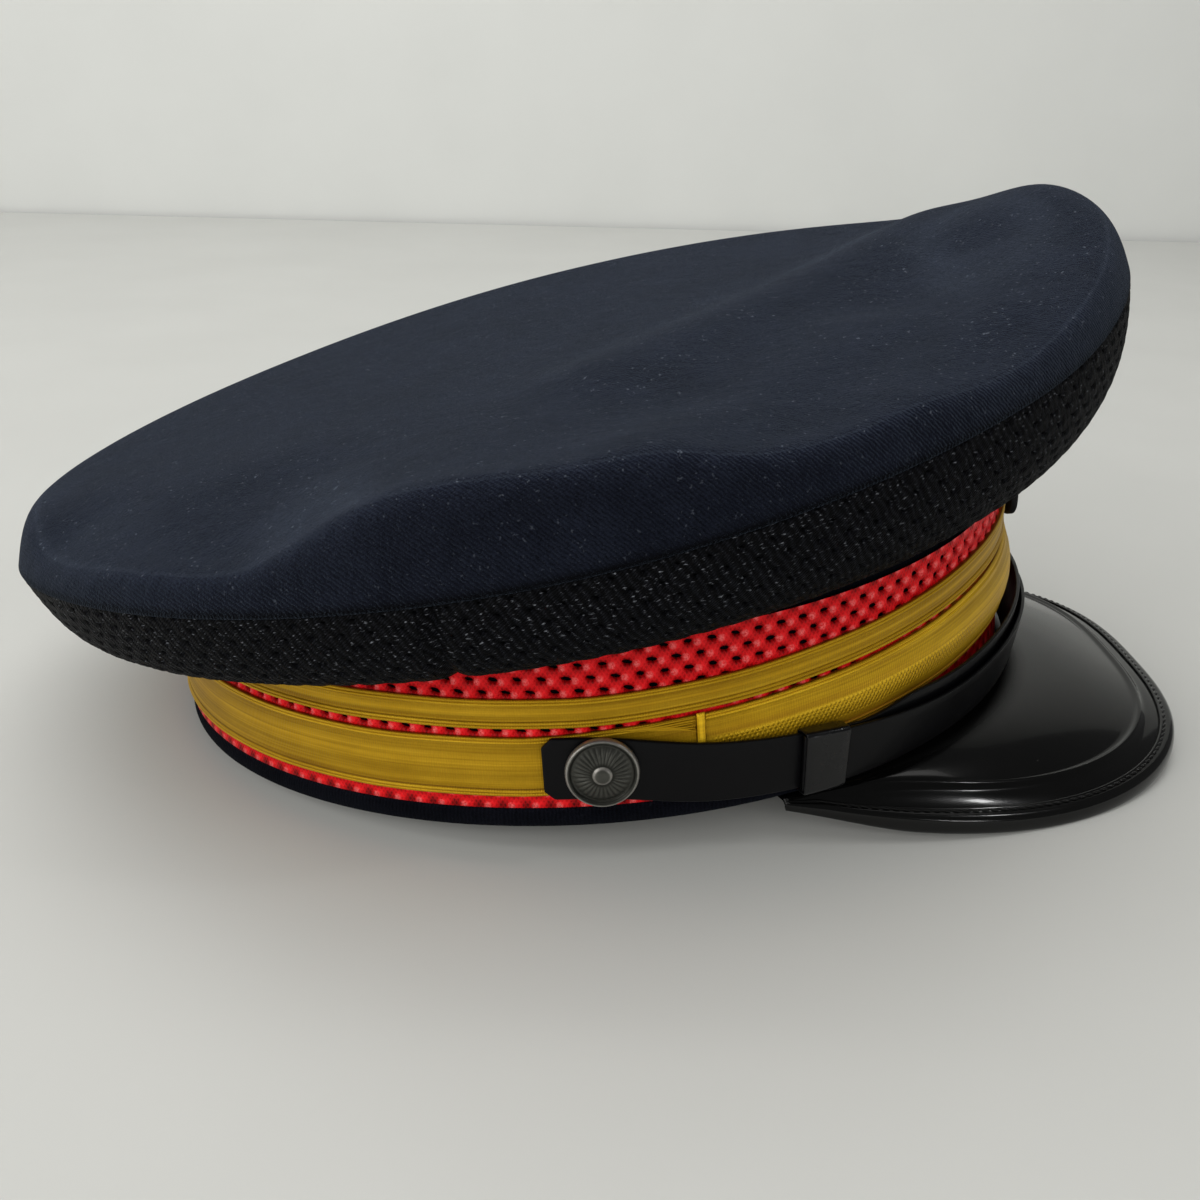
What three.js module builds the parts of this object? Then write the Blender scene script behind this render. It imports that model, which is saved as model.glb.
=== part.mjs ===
import * as THREE from 'three';

// A peaked uniform cap lying on a table: a cloth top over knitted sides, a striped band,
// a glossy peak and a doubled chin strap. Millimetres, +Z up, front towards -Y, and the
// wearer's right towards -X. The cap is drawn upright on its band, then tipped until the
// back of the band and the cheeks of the peak both touch the table.

// Band
const bandHalfLength = 106.3;
const bandHalfWidth = 91.8;
const bandHeight = 41.6;
const bandFrontExtra = 7.2;
const bandTaper = 0.054;
const bandFrontLean = 0.063;
const bandWall = 2;
const bandMeshThickness = 1.0;
const hemHeight = 4.5;
const layerGap = 0.3;

// Gold braids
const braidThickness = 1.0;
const lowerBraidStart = 3.5;
const lowerBraidWidth = 13.0;
const braidSpacing = 2.1;
const upperBraidWidth = 6.3;
const braidSwell = 1.8;
const trimClimb = 7.4;
const braidJoinAhead = 20.6;
const braidEndLength = 1.6;
const braidEndDrop = 7.0;
const braidEndThickness = 0.6;

// Crown
const crownOverhangLength = 26.7;
const crownOverhangWidth = 22.2;
const crownShift = 3.9;
const crownRise = 70.6;
const crownThickness = 1.5;
const rimRounding = 3.1;
const rimShoulder = 6.0;
const rimShoulderReach = 3.0;

// Knitted sides
const sideThickness = 1.2;
const sidePouch = 10.3;
const sidePouchSkew = 1.455;
const sideStartInset = 2.0;
const sideSeamBehind = 14.8;

// Peak
const peakReach = 42.8;
const peakCentre = 5.5;
const peakSquareness = 2.8;
const peakCornerAhead = 42;
const peakCornerProud = 1.2;
const peakCornerDrop = 1.6;
const peakDrop = 15.7;
const peakCheekDrop = 1.4;
const peakThickness = 1.8;
const peakBow = 1.6;
const rimWidth = 8.0;
const rimSideWidth = 6.4;
const rimRise = 3.5;
const rimSideRise = 7.8;
const beadHeight = 0.9;
const beadWidth = 2.2;
const bindingThickness = 0.8;
const bindingWidth = 3.6;

// Chin strap, its keepers and buttons
const strapWidth = 13.5;
const strapThickness = 1.0;
const strapLift = 7.8;
const strapStandOff = 1.2;
const strapTuck = 2.4;
const strapTail = 11.8;
const keeperAhead = 46.4;
const keeperLength = 8.8;
const keeperThickness = 0.6;
const buttonAhead = 4.3;
const buttonRadius = 7.5;
const buttonHeight = 3.4;

// Badge backing
const badgeWidth = 30;
const badgeHeight = 17;
const badgeDepth = 2;
const badgeCorner = 5;
const badgeTopRise = 2;

// Facets
const roundSegments = 56;
const peakSegments = 38;
const buttonSegments = 20;

// The crown by turn from the front, in degrees: how high its seam is above the band and how
// steeply the cloth climbs from it, as shares of crownRise and of one, and how deep the
// knitted side sags, as a share of sidePouch.
const crownSections = [
  { turn: 0, seam: 0.805, climb: 0.94, sag: 0.68 },
  { turn: 45, seam: 0.583, climb: 2.58, sag: 0.77 },
  { turn: 90, seam: 0.313, climb: 2.53, sag: 1.0 },
  { turn: 135, seam: 0.153, climb: 1.5, sag: 1.23 },
  { turn: 180, seam: 0.041, climb: 2.16, sag: 1.33 },
];

// The crown's top as a sheet: its middle, its rise to the front, its bows along and across,
// and the hump over the front stay, with heights as shares of crownRise and places and
// breadths as shares of the crown's half length and half width.
const topForm = {
  middle: 0.542, slope: 0.32, bowAlong: -0.026, bowAcross: 0.073,
  hump: 0.188, humpAhead: 0.895, humpLong: 0.17, humpWide: 0.25,
};

// Folds and dents in the top, each along a line from one place to another: ahead is a share
// of the crown's half length, right of its half width, rise of crownRise and breadth of the
// half width.
const folds = [
  { ahead: 0.72, right: -0.3, toAhead: 0.1, toRight: 0.34, rise: 0.045, breadth: 0.09 },
  { ahead: 0.5, right: 0.38, toAhead: 0.17, toRight: 0.86, rise: 0.055, breadth: 0.09 },
  { ahead: 0.7, right: 0.12, toAhead: 0.3, toRight: 0.6, rise: -0.05, breadth: 0.11 },
  { ahead: 0.62, right: 0.8, toAhead: 0.34, toRight: 0.92, rise: -0.14, breadth: 0.25 },
  { ahead: 0.69, right: 0.5, toAhead: 0.5, toRight: 0.76, rise: 0.03, breadth: 0.07 },
  { ahead: -0.42, right: 0.95, toAhead: -0.4, toRight: 0.62, rise: -0.045, breadth: 0.12 },
  { ahead: -0.8, right: 0.6, toAhead: -0.42, toRight: 0.9, rise: -0.1, breadth: 0.13 },
];

// The chin strap by turn from the front: its lower edge as a share of strapLift, its width as
// a share of strapWidth, how far its lower edge is tucked in, the room it leaves for a keeper
// behind it, and how far it stands off in front, as shares of one.
const strapCourse = [
  { turn: 0, low: 0.54, width: 0.85, tuck: 1, room: 1, off: 1 },
  { turn: 15, low: 0.5, width: 0.85, tuck: 1, room: 1, off: 0.8 },
  { turn: 30, low: 0.41, width: 0.85, tuck: 1, room: 1, off: 0.5 },
  { turn: 45, low: 0.3, width: 0.87, tuck: 1, room: 1, off: 0.2 },
  { turn: 60, low: 0.28, width: 0.95, tuck: 0.75, room: 1, off: 0 },
  { turn: 75, low: 0.52, width: 1, tuck: 0.4, room: 1, off: 0 },
  { turn: 87.7, low: 1, width: 1, tuck: 0, room: 0.1, off: 0 },
  { turn: 100, low: 1, width: 1, tuck: 0, room: 0.1, off: 0 },
];

// One braid's face across its width: a raised cord along each edge, and how far each place
// lies behind the face of the cords, as shares of the width and of the braid's thickness.
const braidFace = [
  { across: 0, dip: 0.25 },
  { across: 0.08, dip: 0 },
  { across: 0.5, dip: 0.2 },
  { across: 0.92, dip: 0 },
  { across: 1, dip: 0.25 },
];

// The rolled lower edge of the band, from its foot to the bare wall: height as a share of
// hemHeight, and how far it reaches back from the red mesh's face, as a share of layerGap.
const hemFace = [
  { height: 0, back: 1 },
  { height: 0.3, back: 0 },
  { height: 0.8, back: 0 },
];

// The button from its back to the middle of its face: radius and height as shares.
const buttonProfile = [
  { radius: 0, height: 0 },
  { radius: 0.86, height: 0 },
  { radius: 1, height: 0.3 },
  { radius: 1, height: 0.55 },
  { radius: 0.93, height: 0.75 },
  { radius: 0.85, height: 0.55 },
  { radius: 0.5, height: 0.9 },
  { radius: 0, height: 1 },
];

// Places from the peak's root to its bead line, and where the bow of its field is highest.
const peakField = [0, 0.25, 0.55, 0.8];

// Places down the knitted side, from the band to the seam, and out over the crown.
const sideShares = [0, 0.14, 0.3, 0.48, 0.66, 0.84, 1];
const crownReaches = [0.1, 0.2, 0.3, 0.4, 0.5, 0.6, 0.69, 0.77, 0.84, 0.9, 0.95, 0.98, 1];

const radians = THREE.MathUtils.degToRad;
const degrees = THREE.MathUtils.radToDeg;
const crownHalfLength = bandHalfLength + crownOverhangLength;
const crownHalfWidth = bandHalfWidth + crownOverhangWidth;

// A point on an upright oval ring; turn is counted from the front towards the wearer's right.
function ringPoint(halfLength, halfWidth, turn, height, shift = 0) {
  const x = -halfWidth * Math.sin(radians(turn));
  const y = -halfLength * Math.cos(radians(turn)) + shift;
  return new THREE.Vector3(x, y, height);
}

// A point on the band: out is counted from the face of the gold braid, level from the lower
// edge, and levels spread where the band is taller in front.
function bandPoint(turn, out, level) {
  const facing = Math.cos(radians(turn));
  const spread = 1 + (bandFrontExtra / bandHeight) * Math.max(0, facing) ** 2;
  const lean = level * (bandFrontLean * facing - bandTaper);
  const reach = out + lean;
  return ringPoint(bandHalfLength + reach, bandHalfWidth + reach, turn, level * spread);
}

// A point of the gold trim, which climbs towards the front between the two edges of the band.
function trimPoint(turn, out, level) {
  const facing = Math.max(0, Math.cos(radians(turn)));
  const fade = THREE.MathUtils.smoothstep(level, 0, lowerBraidLow)
    * (1 - THREE.MathUtils.smoothstep(level, upperBraidHigh, bandHeight));
  return bandPoint(turn, out, level + trimClimb * facing ** 1.3 * fade);
}

// A value read from a table of sections by turn, along a smooth curve through its rows.
function readTable(table, turn, column) {
  const angle = Math.abs(THREE.MathUtils.euclideanModulo(turn + 180, 360) - 180);
  const last = table.length - 1;
  let row = 0;
  while (row < last - 1 && angle > table[row + 1].turn) {
    row += 1;
  }
  const from = table[row];
  const to = table[row + 1];
  const before = table[row - 1] ?? { ...to, turn: 2 * from.turn - to.turn };
  const after = table[row + 2] ?? { ...from, turn: 2 * to.turn - from.turn };
  const span = to.turn - from.turn;
  const share = Math.min(1, (angle - from.turn) / span);
  const startSlope = ((to[column] - before[column]) / (to.turn - before.turn)) * span;
  const endSlope = ((after[column] - from[column]) / (after.turn - from.turn)) * span;
  const square = share * share;
  const cube = square * share;
  return (2 * cube - 3 * square + 1) * from[column] + (cube - 2 * square + share) * startSlope
    + (3 * square - 2 * cube) * to[column] + (cube - square) * endSlope;
}

// Even turns from one to another.
function turnsBetween(from, to, count) {
  return Array.from({ length: count + 1 }, (_, step) => from + ((to - from) * step) / count);
}

// A geometry from points and triangles, with its faces turned outwards.
function closedGeometry(points, triangles) {
  const volume = triangles.reduce((sum, [a, b, c]) => {
    const normal = new THREE.Vector3().crossVectors(points[b], points[c]);
    return sum + points[a].dot(normal);
  }, 0);
  const faces = volume < 0 ? triangles.map(([a, b, c]) => [a, c, b]) : triangles;
  const geometry = new THREE.BufferGeometry().setFromPoints(points);
  geometry.setIndex(faces.flat());
  geometry.computeVertexNormals();
  return geometry;
}

// Two triangles for a four-cornered face.
function quad(a, b, c, d) {
  return [[a, b, c], [a, c, d]];
}

// A closed section carried round: all the way, or from the first turn to the last with ends.
function sweep(turns, sectionAt, isRing = false) {
  const sections = (isRing ? turns.slice(0, -1) : turns).map(sectionAt);
  const size = sections[0].length;
  const triangles = [];
  const strips = isRing ? sections.length : sections.length - 1;
  for (let strip = 0; strip < strips; strip += 1) {
    const next = (strip + 1) % sections.length;
    for (let corner = 0; corner < size; corner += 1) {
      const after = (corner + 1) % size;
      triangles.push(...quad(
        strip * size + corner, next * size + corner, next * size + after, strip * size + after,
      ));
    }
  }
  if (!isRing) {
    for (const end of [0, sections.length - 1]) {
      triangles.push(...endCap(sections[end], turns[end], end * size, end === 0));
    }
  }
  return closedGeometry(sections.flat(), triangles);
}

// The flat end of a section, cut into triangles in the upright plane that it lies in.
function endCap(section, turn, offset, isStart) {
  const across = new THREE.Vector3(-Math.sin(radians(turn)), -Math.cos(radians(turn)), 0);
  const outline = section.map((point) => new THREE.Vector2(point.dot(across), point.z));
  const outlineArea = THREE.ShapeUtils.area(outline);
  return THREE.ShapeUtils.triangulateShape(outline, []).map((face) => {
    const area = signedArea(face.map((corner) => outline[corner]));
    const isInOrder = area * outlineArea > 0;
    const kept = isInOrder === isStart ? face : [...face].reverse();
    return kept.map((corner) => corner + offset);
  });
}

function signedArea([a, b, c]) {
  return ((b.x - a.x) * (c.y - a.y) - (c.x - a.x) * (b.y - a.y)) / 2;
}

const ringTurns = turnsBetween(0, 360, roundSegments);
const bandMeshOut = -braidThickness - layerGap;
const baseOut = bandMeshOut - bandMeshThickness - layerGap;
const baseInnerOut = baseOut - bandWall;
const lowerBraidLow = hemHeight + lowerBraidStart;
const lowerBraidHigh = lowerBraidLow + lowerBraidWidth;
const upperBraidLow = lowerBraidHigh + braidSpacing;
const upperBraidHigh = upperBraidLow + upperBraidWidth;

// Places along the band, as turns from the front.
const buttonTurn = degrees(Math.acos(buttonAhead / bandHalfLength));
const braidJoinTurn = turnAhead(braidJoinAhead);
const keeperTurn = turnAhead(keeperAhead);
const strapEndTurn = turnAhead(-strapTail);
const sideSeamTurn = 90 + degrees(Math.asin(sideSeamBehind / bandHalfLength));

// The turn that lies a length ahead of the button, along the band.
function turnAhead(length) {
  return buttonTurn - degrees(length / bandHalfLength);
}

// The navy wall of the band, thicker at its rolled lower edge.
function bandBase() {
  return sweep(ringTurns, (turn) => [
    bandPoint(turn, baseInnerOut, 0),
    ...hemFace.map(({ height, back }) => (
      bandPoint(turn, bandMeshOut - layerGap * back, hemHeight * height)
    )),
    bandPoint(turn, baseOut, hemHeight),
    bandPoint(turn, baseOut, bandHeight),
    bandPoint(turn, baseInnerOut, bandHeight),
  ], true);
}

// The red mesh laid over the wall, above the rolled edge.
function bandMesh() {
  return sweep(ringTurns, (turn) => [
    bandPoint(turn, bandMeshOut - bandMeshThickness, hemHeight + layerGap),
    bandPoint(turn, bandMeshOut, hemHeight + layerGap),
    bandPoint(turn, bandMeshOut, bandHeight - 2 * layerGap),
    bandPoint(turn, bandMeshOut - bandMeshThickness, bandHeight - 2 * layerGap),
  ], true);
}

// How far the front length of the lower braid swells, fading to its joins.
function swellAt(turn) {
  const share = Math.min(1, Math.abs(turn) / braidJoinTurn);
  return braidSwell * Math.cos((share * Math.PI) / 2);
}

// One braid's section between two levels, its middle swollen outwards.
function braidSection(turn, low, high, swell) {
  const outer = braidFace.map(({ across, dip }) => {
    const out = swell * Math.sin(Math.PI * across) - dip * braidThickness;
    return trimPoint(turn, out, low + (high - low) * across);
  });
  return [...outer, trimPoint(turn, -braidThickness, high), trimPoint(turn, -braidThickness, low)];
}

function upperBraid() {
  return sweep(ringTurns, (turn) => braidSection(turn, upperBraidLow, upperBraidHigh, 0), true);
}

const joinGapTurn = degrees(layerGap / bandHalfWidth);

function lowerBraid(from, to, count, swell) {
  const turns = turnsBetween(from + joinGapTurn, to - joinGapTurn, count);
  return sweep(turns, (turn) => braidSection(turn, lowerBraidLow, lowerBraidHigh, swell(turn)));
}

// The sewn bar over a join of the lower braid.
function braidEnd(side) {
  const half = degrees(braidEndLength / 2 / bandHalfWidth);
  const high = lowerBraidHigh + braidSpacing / 2;
  const low = high - braidEndDrop;
  const turns = turnsBetween(side * braidJoinTurn - half, side * braidJoinTurn + half, 2);
  return sweep(turns, (turn) => [
    trimPoint(turn, layerGap, low),
    trimPoint(turn, layerGap + braidEndThickness, low),
    trimPoint(turn, layerGap + braidEndThickness, high),
    trimPoint(turn, layerGap, high),
  ]);
}

function seamHeight(turn) {
  return bandHeight + crownRise * readTable(crownSections, turn, 'seam');
}

function seamPoint(turn, drop = 0) {
  return ringPoint(crownHalfLength, crownHalfWidth, turn, seamHeight(turn) - drop, crownShift);
}

// The height of the top sheet at a place given in shares of the crown's half sizes.
function topHeight(ahead, right) {
  const humpAlong = (ahead - topForm.humpAhead) / topForm.humpLong;
  const humpAcross = right / topForm.humpWide;
  let share = topForm.middle + topForm.slope * ahead + topForm.bowAlong * ahead ** 2
    + topForm.bowAcross * right ** 2
    + topForm.hump * Math.exp(-(humpAlong ** 2 + humpAcross ** 2) / 2);
  for (const fold of folds) {
    const start = new THREE.Vector3(fold.ahead * crownHalfLength, fold.right * crownHalfWidth, 0);
    const end = new THREE.Vector3(fold.toAhead * crownHalfLength, fold.toRight * crownHalfWidth, 0);
    const place = new THREE.Vector3(ahead * crownHalfLength, right * crownHalfWidth, 0);
    const nearest = new THREE.Line3(start, end).closestPointToPoint(place, true, new THREE.Vector3());
    const offset = nearest.distanceTo(place) / (fold.breadth * crownHalfWidth);
    share += fold.rise * Math.exp(-(offset ** 2) / 2);
  }
  return bandHeight + crownRise * share;
}

// The crown's outer surface: the top sheet meets the cloth that climbs from the seam in a
// rounded rim. Reach is 0 in the middle and 1 at the seam.
function crownPoint(turn, reach) {
  const edge = seamPoint(turn);
  const middle = new THREE.Vector3(0, crownShift, 0);
  const point = new THREE.Vector3().lerpVectors(middle, edge, reach);
  const inward = Math.hypot(edge.x, edge.y - crownShift) * (1 - reach);
  const sheet = topHeight(-(point.y - crownShift) / crownHalfLength, -point.x / crownHalfWidth);
  const climb = edge.z + inward * readTable(crownSections, turn, 'climb')
    + rimShoulder * (1 - Math.exp(-inward / rimShoulderReach));
  const lower = Math.min(sheet, climb);
  const blend = Math.exp((lower - sheet) / rimRounding) + Math.exp((lower - climb) / rimRounding);
  point.z = reach === 1 ? edge.z : lower - rimRounding * Math.log(blend);
  return point;
}

// The point below a crown point by the cloth's thickness, square to the surface.
function crownLining(turn, reach) {
  const step = 0.01;
  const point = crownPoint(turn, reach);
  const across = new THREE.Vector3(-Math.sin(radians(turn)), -Math.cos(radians(turn)), 0);
  if (reach === 1) {
    return point.addScaledVector(across, -crownThickness);
  }
  const outward = crownPoint(turn, Math.min(1, reach + step)).sub(crownPoint(turn, reach - step));
  const sideways = crownPoint(turn + 1, reach).sub(crownPoint(turn - 1, reach));
  const normal = new THREE.Vector3().crossVectors(outward, sideways).normalize();
  return point.addScaledVector(normal, normal.z > 0 ? -crownThickness : crownThickness);
}

function crownTop() {
  const turns = ringTurns.slice(0, -1);
  const skins = [crownPoint, crownLining].map((pointAt) => {
    const middle = crownPoint(0, 0);
    middle.z -= pointAt === crownLining ? crownThickness : 0;
    return [middle, ...crownReaches.flatMap((reach) => turns.map((turn) => pointAt(turn, reach)))];
  });
  const count = turns.length;
  const rings = crownReaches.length;
  const skinSize = 1 + rings * count;
  const triangles = [];
  skins.forEach((_, skin) => {
    const start = skin * skinSize;
    const cornerAt = (ring, side) => start + 1 + ring * count + (side % count);
    for (let side = 0; side < count; side += 1) {
      const faces = [[start, cornerAt(0, side), cornerAt(0, side + 1)]];
      for (let ring = 1; ring < rings; ring += 1) {
        faces.push(...quad(
          cornerAt(ring - 1, side), cornerAt(ring, side), cornerAt(ring, side + 1),
          cornerAt(ring - 1, side + 1),
        ));
      }
      triangles.push(...(skin === 0 ? faces : faces.map(([a, b, c]) => [a, c, b])));
    }
  });
  const outerEdge = 1 + (rings - 1) * count;
  for (let side = 0; side < count; side += 1) {
    const next = (side + 1) % count;
    triangles.push(...quad(
      outerEdge + side, outerEdge + skinSize + side, outerEdge + skinSize + next, outerEdge + next,
    ));
  }
  return closedGeometry(skins.flat(), triangles);
}

// The knitted side's outer face, from the band's top (share 0) to the crown's seam (share 1):
// a straight line between the two that sags outwards and down.
function sidePoint(turn, share) {
  const start = bandPoint(turn, -sideStartInset, bandHeight);
  start.z += layerGap;
  const end = seamPoint(turn, layerGap);
  const line = new THREE.Vector3().subVectors(end, start);
  const across = Math.hypot(line.x, line.y);
  const length = line.length();
  const sag = sidePouch * readTable(crownSections, turn, 'sag')
    * Math.sin(Math.PI * share ** sidePouchSkew);
  const outward = new THREE.Vector3(-Math.sin(radians(turn)), -Math.cos(radians(turn)), 0);
  const point = start.addScaledVector(line, share);
  point.addScaledVector(outward, (sag * line.z) / length);
  point.z -= (sag * across) / length;
  return point;
}

function sidePanel(from, to, count) {
  const gapTurn = joinGapTurn / 2;
  const turns = turnsBetween(from + gapTurn, to - gapTurn, count);
  return sweep(turns, (turn) => {
    const across = new THREE.Vector3(-Math.sin(radians(turn)), -Math.cos(radians(turn)), 0);
    const outer = sideShares.map((share) => sidePoint(turn, share));
    const inner = sideShares.map((share) => {
      const step = 0.01;
      const after = sidePoint(turn, Math.min(1, share + step));
      const tangent = after.sub(sidePoint(turn, Math.max(0, share - step)));
      const flat = tangent.dot(across);
      const size = Math.hypot(flat, tangent.z);
      const point = sidePoint(turn, share);
      if (share === 1) {
        return point.addScaledVector(across, -sideThickness);
      }
      point.addScaledVector(across, (-sideThickness * tangent.z) / size);
      point.z += (sideThickness * flat) / size;
      return point;
    });
    return [...outer, ...inner.reverse()];
  });
}

// The peak by angle from its tip: the root under the band, the bead line and the outer edge.
const peakHalfLength = bandHalfLength + peakReach - peakCentre;
const peakPower = 2 / peakSquareness;
const peakCornerTurn = degrees(Math.acos(peakCornerAhead / bandHalfLength));
const peakCorner = bandPoint(peakCornerTurn, bandMeshOut + peakCornerProud, 0);
const peakCornerFacing = ((-peakCorner.y - peakCentre) / peakHalfLength) ** (1 / peakPower);
const peakEndAngle = degrees(Math.acos(peakCornerFacing));
const peakHalfWidth = -peakCorner.x / Math.sin(radians(peakEndAngle)) ** peakPower;

function peakOval(angle, halfLength, halfWidth, height) {
  const ahead = peakCentre + halfLength * Math.cos(radians(angle)) ** peakPower;
  const right = halfWidth * Math.sign(angle) * Math.abs(Math.sin(radians(angle))) ** peakPower;
  return new THREE.Vector3(-right, -ahead, height);
}

function peakEdge(angle) {
  const facing = Math.cos(radians(angle));
  const cornerShare = ((1 - facing) / (1 - peakCornerFacing)) ** 3;
  const height = (peakDrop - peakCornerDrop) * cornerShare - peakDrop
    - peakCheekDrop * Math.sin(radians(2 * angle)) ** 2;
  return peakOval(angle, peakHalfLength, peakHalfWidth, height);
}

function peakBeadLine(angle) {
  const facing = Math.cos(radians(angle)) ** 2;
  const rise = rimRise * facing + rimSideRise * (1 - facing);
  const height = Math.min(peakEdge(angle).z + rise, peakRoot(angle, bandMeshOut).z - layerGap);
  const line = peakOval(angle, peakHalfLength - rimWidth, peakHalfWidth - rimSideWidth, height);
  const ending = new THREE.Vector3().lerpVectors(peakRoot(angle, bandMeshOut), peakEdge(angle), 0.3);
  const share = THREE.MathUtils.smoothstep(Math.abs(angle), peakEndAngle * 0.75, peakEndAngle);
  return line.lerp(ending, share);
}

function peakRoot(angle, out) {
  const point = bandPoint((angle * peakCornerTurn) / peakEndAngle, out, 0);
  point.z -= layerGap;
  return point;
}

// The binding's section shrinks with the rim towards the peak's corners.
function bindingScale(rimLength) {
  return Math.min(1, rimLength / (bindingWidth * 1.4));
}

// Places on the top face of the peak from the root to the outer edge, with the raised bead.
function peakTopFace(angle) {
  const root = peakRoot(angle, bandMeshOut);
  const bead = peakBeadLine(angle);
  const edge = peakEdge(angle);
  const rim = new THREE.Vector3().subVectors(edge, bead);
  const rimLength = rim.length();
  const beadShare = Math.min(0.25, beadWidth / 2 / rimLength);
  const edgeShare = ((bindingThickness + layerGap) * bindingScale(rimLength)) / rimLength;
  const field = peakField.map((share) => {
    const point = new THREE.Vector3().lerpVectors(root, bead, share);
    point.z += peakBow * Math.sin(Math.PI * share) * (1 - Math.abs(angle) / peakEndAngle);
    return point;
  });
  const beforeBead = new THREE.Vector3().lerpVectors(
    bead, root, Math.min(0.15, beadWidth / 2 / root.distanceTo(bead)),
  );
  const onBead = bead.clone();
  onBead.z += beadHeight;
  const afterBead = bead.clone().addScaledVector(rim, beadShare);
  const bindingEdge = edge.clone().addScaledVector(rim, -edgeShare);
  return [peakRoot(angle, baseInnerOut), ...field, beforeBead, onBead, afterBead, bindingEdge];
}

const peakAngles = turnsBetween(-peakEndAngle, peakEndAngle, peakSegments);

function peakPlate() {
  return sweep(peakAngles, (angle) => {
    const top = peakTopFace(angle);
    const beadPlaces = [peakField.length + 1, peakField.length + 2];
    const under = top.filter((_, place) => !beadPlaces.includes(place)).reverse();
    return [...top, ...under.map((point) => point.clone().setZ(point.z - peakThickness))];
  });
}

// The binding folded round the peak's outer edge.
function peakBinding() {
  return sweep(peakAngles, (angle) => {
    const edge = peakEdge(angle);
    const rim = new THREE.Vector3().subVectors(edge, peakBeadLine(angle));
    const scale = bindingScale(rim.length());
    const outward = rim.normalize();
    const at = (inward, height) => {
      const point = edge.clone().addScaledVector(outward, -inward * scale);
      point.z += height;
      return point;
    };
    const thickness = bindingThickness * scale;
    const above = layerGap;
    const below = -peakThickness - layerGap;
    return [
      at(bindingWidth, above), at(bindingWidth, above + thickness),
      at(bindingThickness, above + thickness), at(0, above), at(-layerGap, below / 2),
      at(0, below), at(bindingThickness, below - thickness),
      at(bindingWidth, below - thickness), at(bindingWidth, below),
      at(bindingThickness, below), at(bindingThickness, above),
    ];
  });
}

// The inner face of the chin strap, clear of the swollen braid and of a keeper's back.
function strapInnerOut(turn) {
  const room = readTable(strapCourse, turn, 'room') * (keeperThickness + layerGap);
  const standOff = readTable(strapCourse, turn, 'off') * strapStandOff;
  return layerGap + swellAt(turn) + room + standOff;
}

function strapLow(turn) {
  return strapLift * readTable(strapCourse, turn, 'low');
}

function strapHigh(turn) {
  return strapLow(turn) + strapWidth * readTable(strapCourse, turn, 'width');
}

// Four corners round the strap, its lower edge tucked in.
function strapCorners(turn, inner, outer, margin) {
  const tuck = strapTuck * readTable(strapCourse, turn, 'tuck');
  const low = strapLow(turn) - margin;
  const high = strapHigh(turn) + margin;
  return [
    bandPoint(turn, inner - tuck, low), bandPoint(turn, outer - tuck, low),
    bandPoint(turn, outer, high), bandPoint(turn, inner, high),
  ];
}

const layerStep = strapThickness + layerGap;
const keeperHalfTurn = degrees(keeperLength / 2 / bandHalfWidth);
const keeperRearTurn = keeperTurn + keeperHalfTurn;

// One half of the strap; layerAt tells how far it lies over the other half.
function strapHalf(from, to, layerAt) {
  return sweep(turnsBetween(from, to, 34), (turn) => {
    const inner = strapInnerOut(turn) + layerStep * layerAt(turn);
    return strapCorners(turn, inner, inner + strapThickness, 0);
  });
}

// A flat loop round both halves of the strap.
function keeper(side) {
  const turns = turnsBetween(side * keeperTurn - keeperHalfTurn, side * keeperTurn + keeperHalfTurn, 3);
  const loopAt = (turn, margin) => {
    const inner = strapInnerOut(turn) - margin;
    const outer = strapInnerOut(turn) + layerStep + strapThickness + margin;
    return strapCorners(turn, inner, outer, margin);
  };
  const outside = turns.map((turn) => loopAt(turn, layerGap + keeperThickness));
  const inside = turns.map((turn) => loopAt(turn, layerGap));
  const points = [...outside.flat(), ...inside.flat()];
  const shift = outside.length * 4;
  const triangles = [];
  for (let corner = 0; corner < 4; corner += 1) {
    const after = (corner + 1) % 4;
    for (let row = 0; row < turns.length - 1; row += 1) {
      const here = row * 4;
      const next = here + 4;
      triangles.push(...quad(here + corner, next + corner, next + after, here + after));
      triangles.push(...quad(
        shift + here + after, shift + next + after, shift + next + corner, shift + here + corner,
      ));
    }
    const last = (turns.length - 1) * 4;
    triangles.push(...quad(after, shift + after, shift + corner, corner));
    triangles.push(...quad(
      last + corner, last + shift + corner, last + shift + after, last + after,
    ));
  }
  return closedGeometry(points, triangles);
}

// A domed button with a raised rim, turned about its own axis.
function buttonGeometry() {
  const outline = buttonProfile.map(({ radius, height }) => (
    new THREE.Vector2(buttonRadius * radius, buttonHeight * height)
  ));
  return new THREE.LatheGeometry(outline, buttonSegments);
}

function placeButton(mesh, side) {
  const turn = side * buttonTurn;
  const out = strapInnerOut(turn) + strapThickness + layerGap;
  const level = (strapLow(turn) + strapHigh(turn)) / 2;
  const lean = bandPoint(turn, out, level + 1).sub(bandPoint(turn, out, level - 1));
  const along = bandPoint(turn + 1, out, level).sub(bandPoint(turn - 1, out, level));
  const outward = new THREE.Vector3().crossVectors(lean, along).normalize();
  mesh.position.copy(bandPoint(turn, out, level));
  mesh.quaternion.setFromUnitVectors(new THREE.Vector3(0, 1, 0), outward);
}

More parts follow.
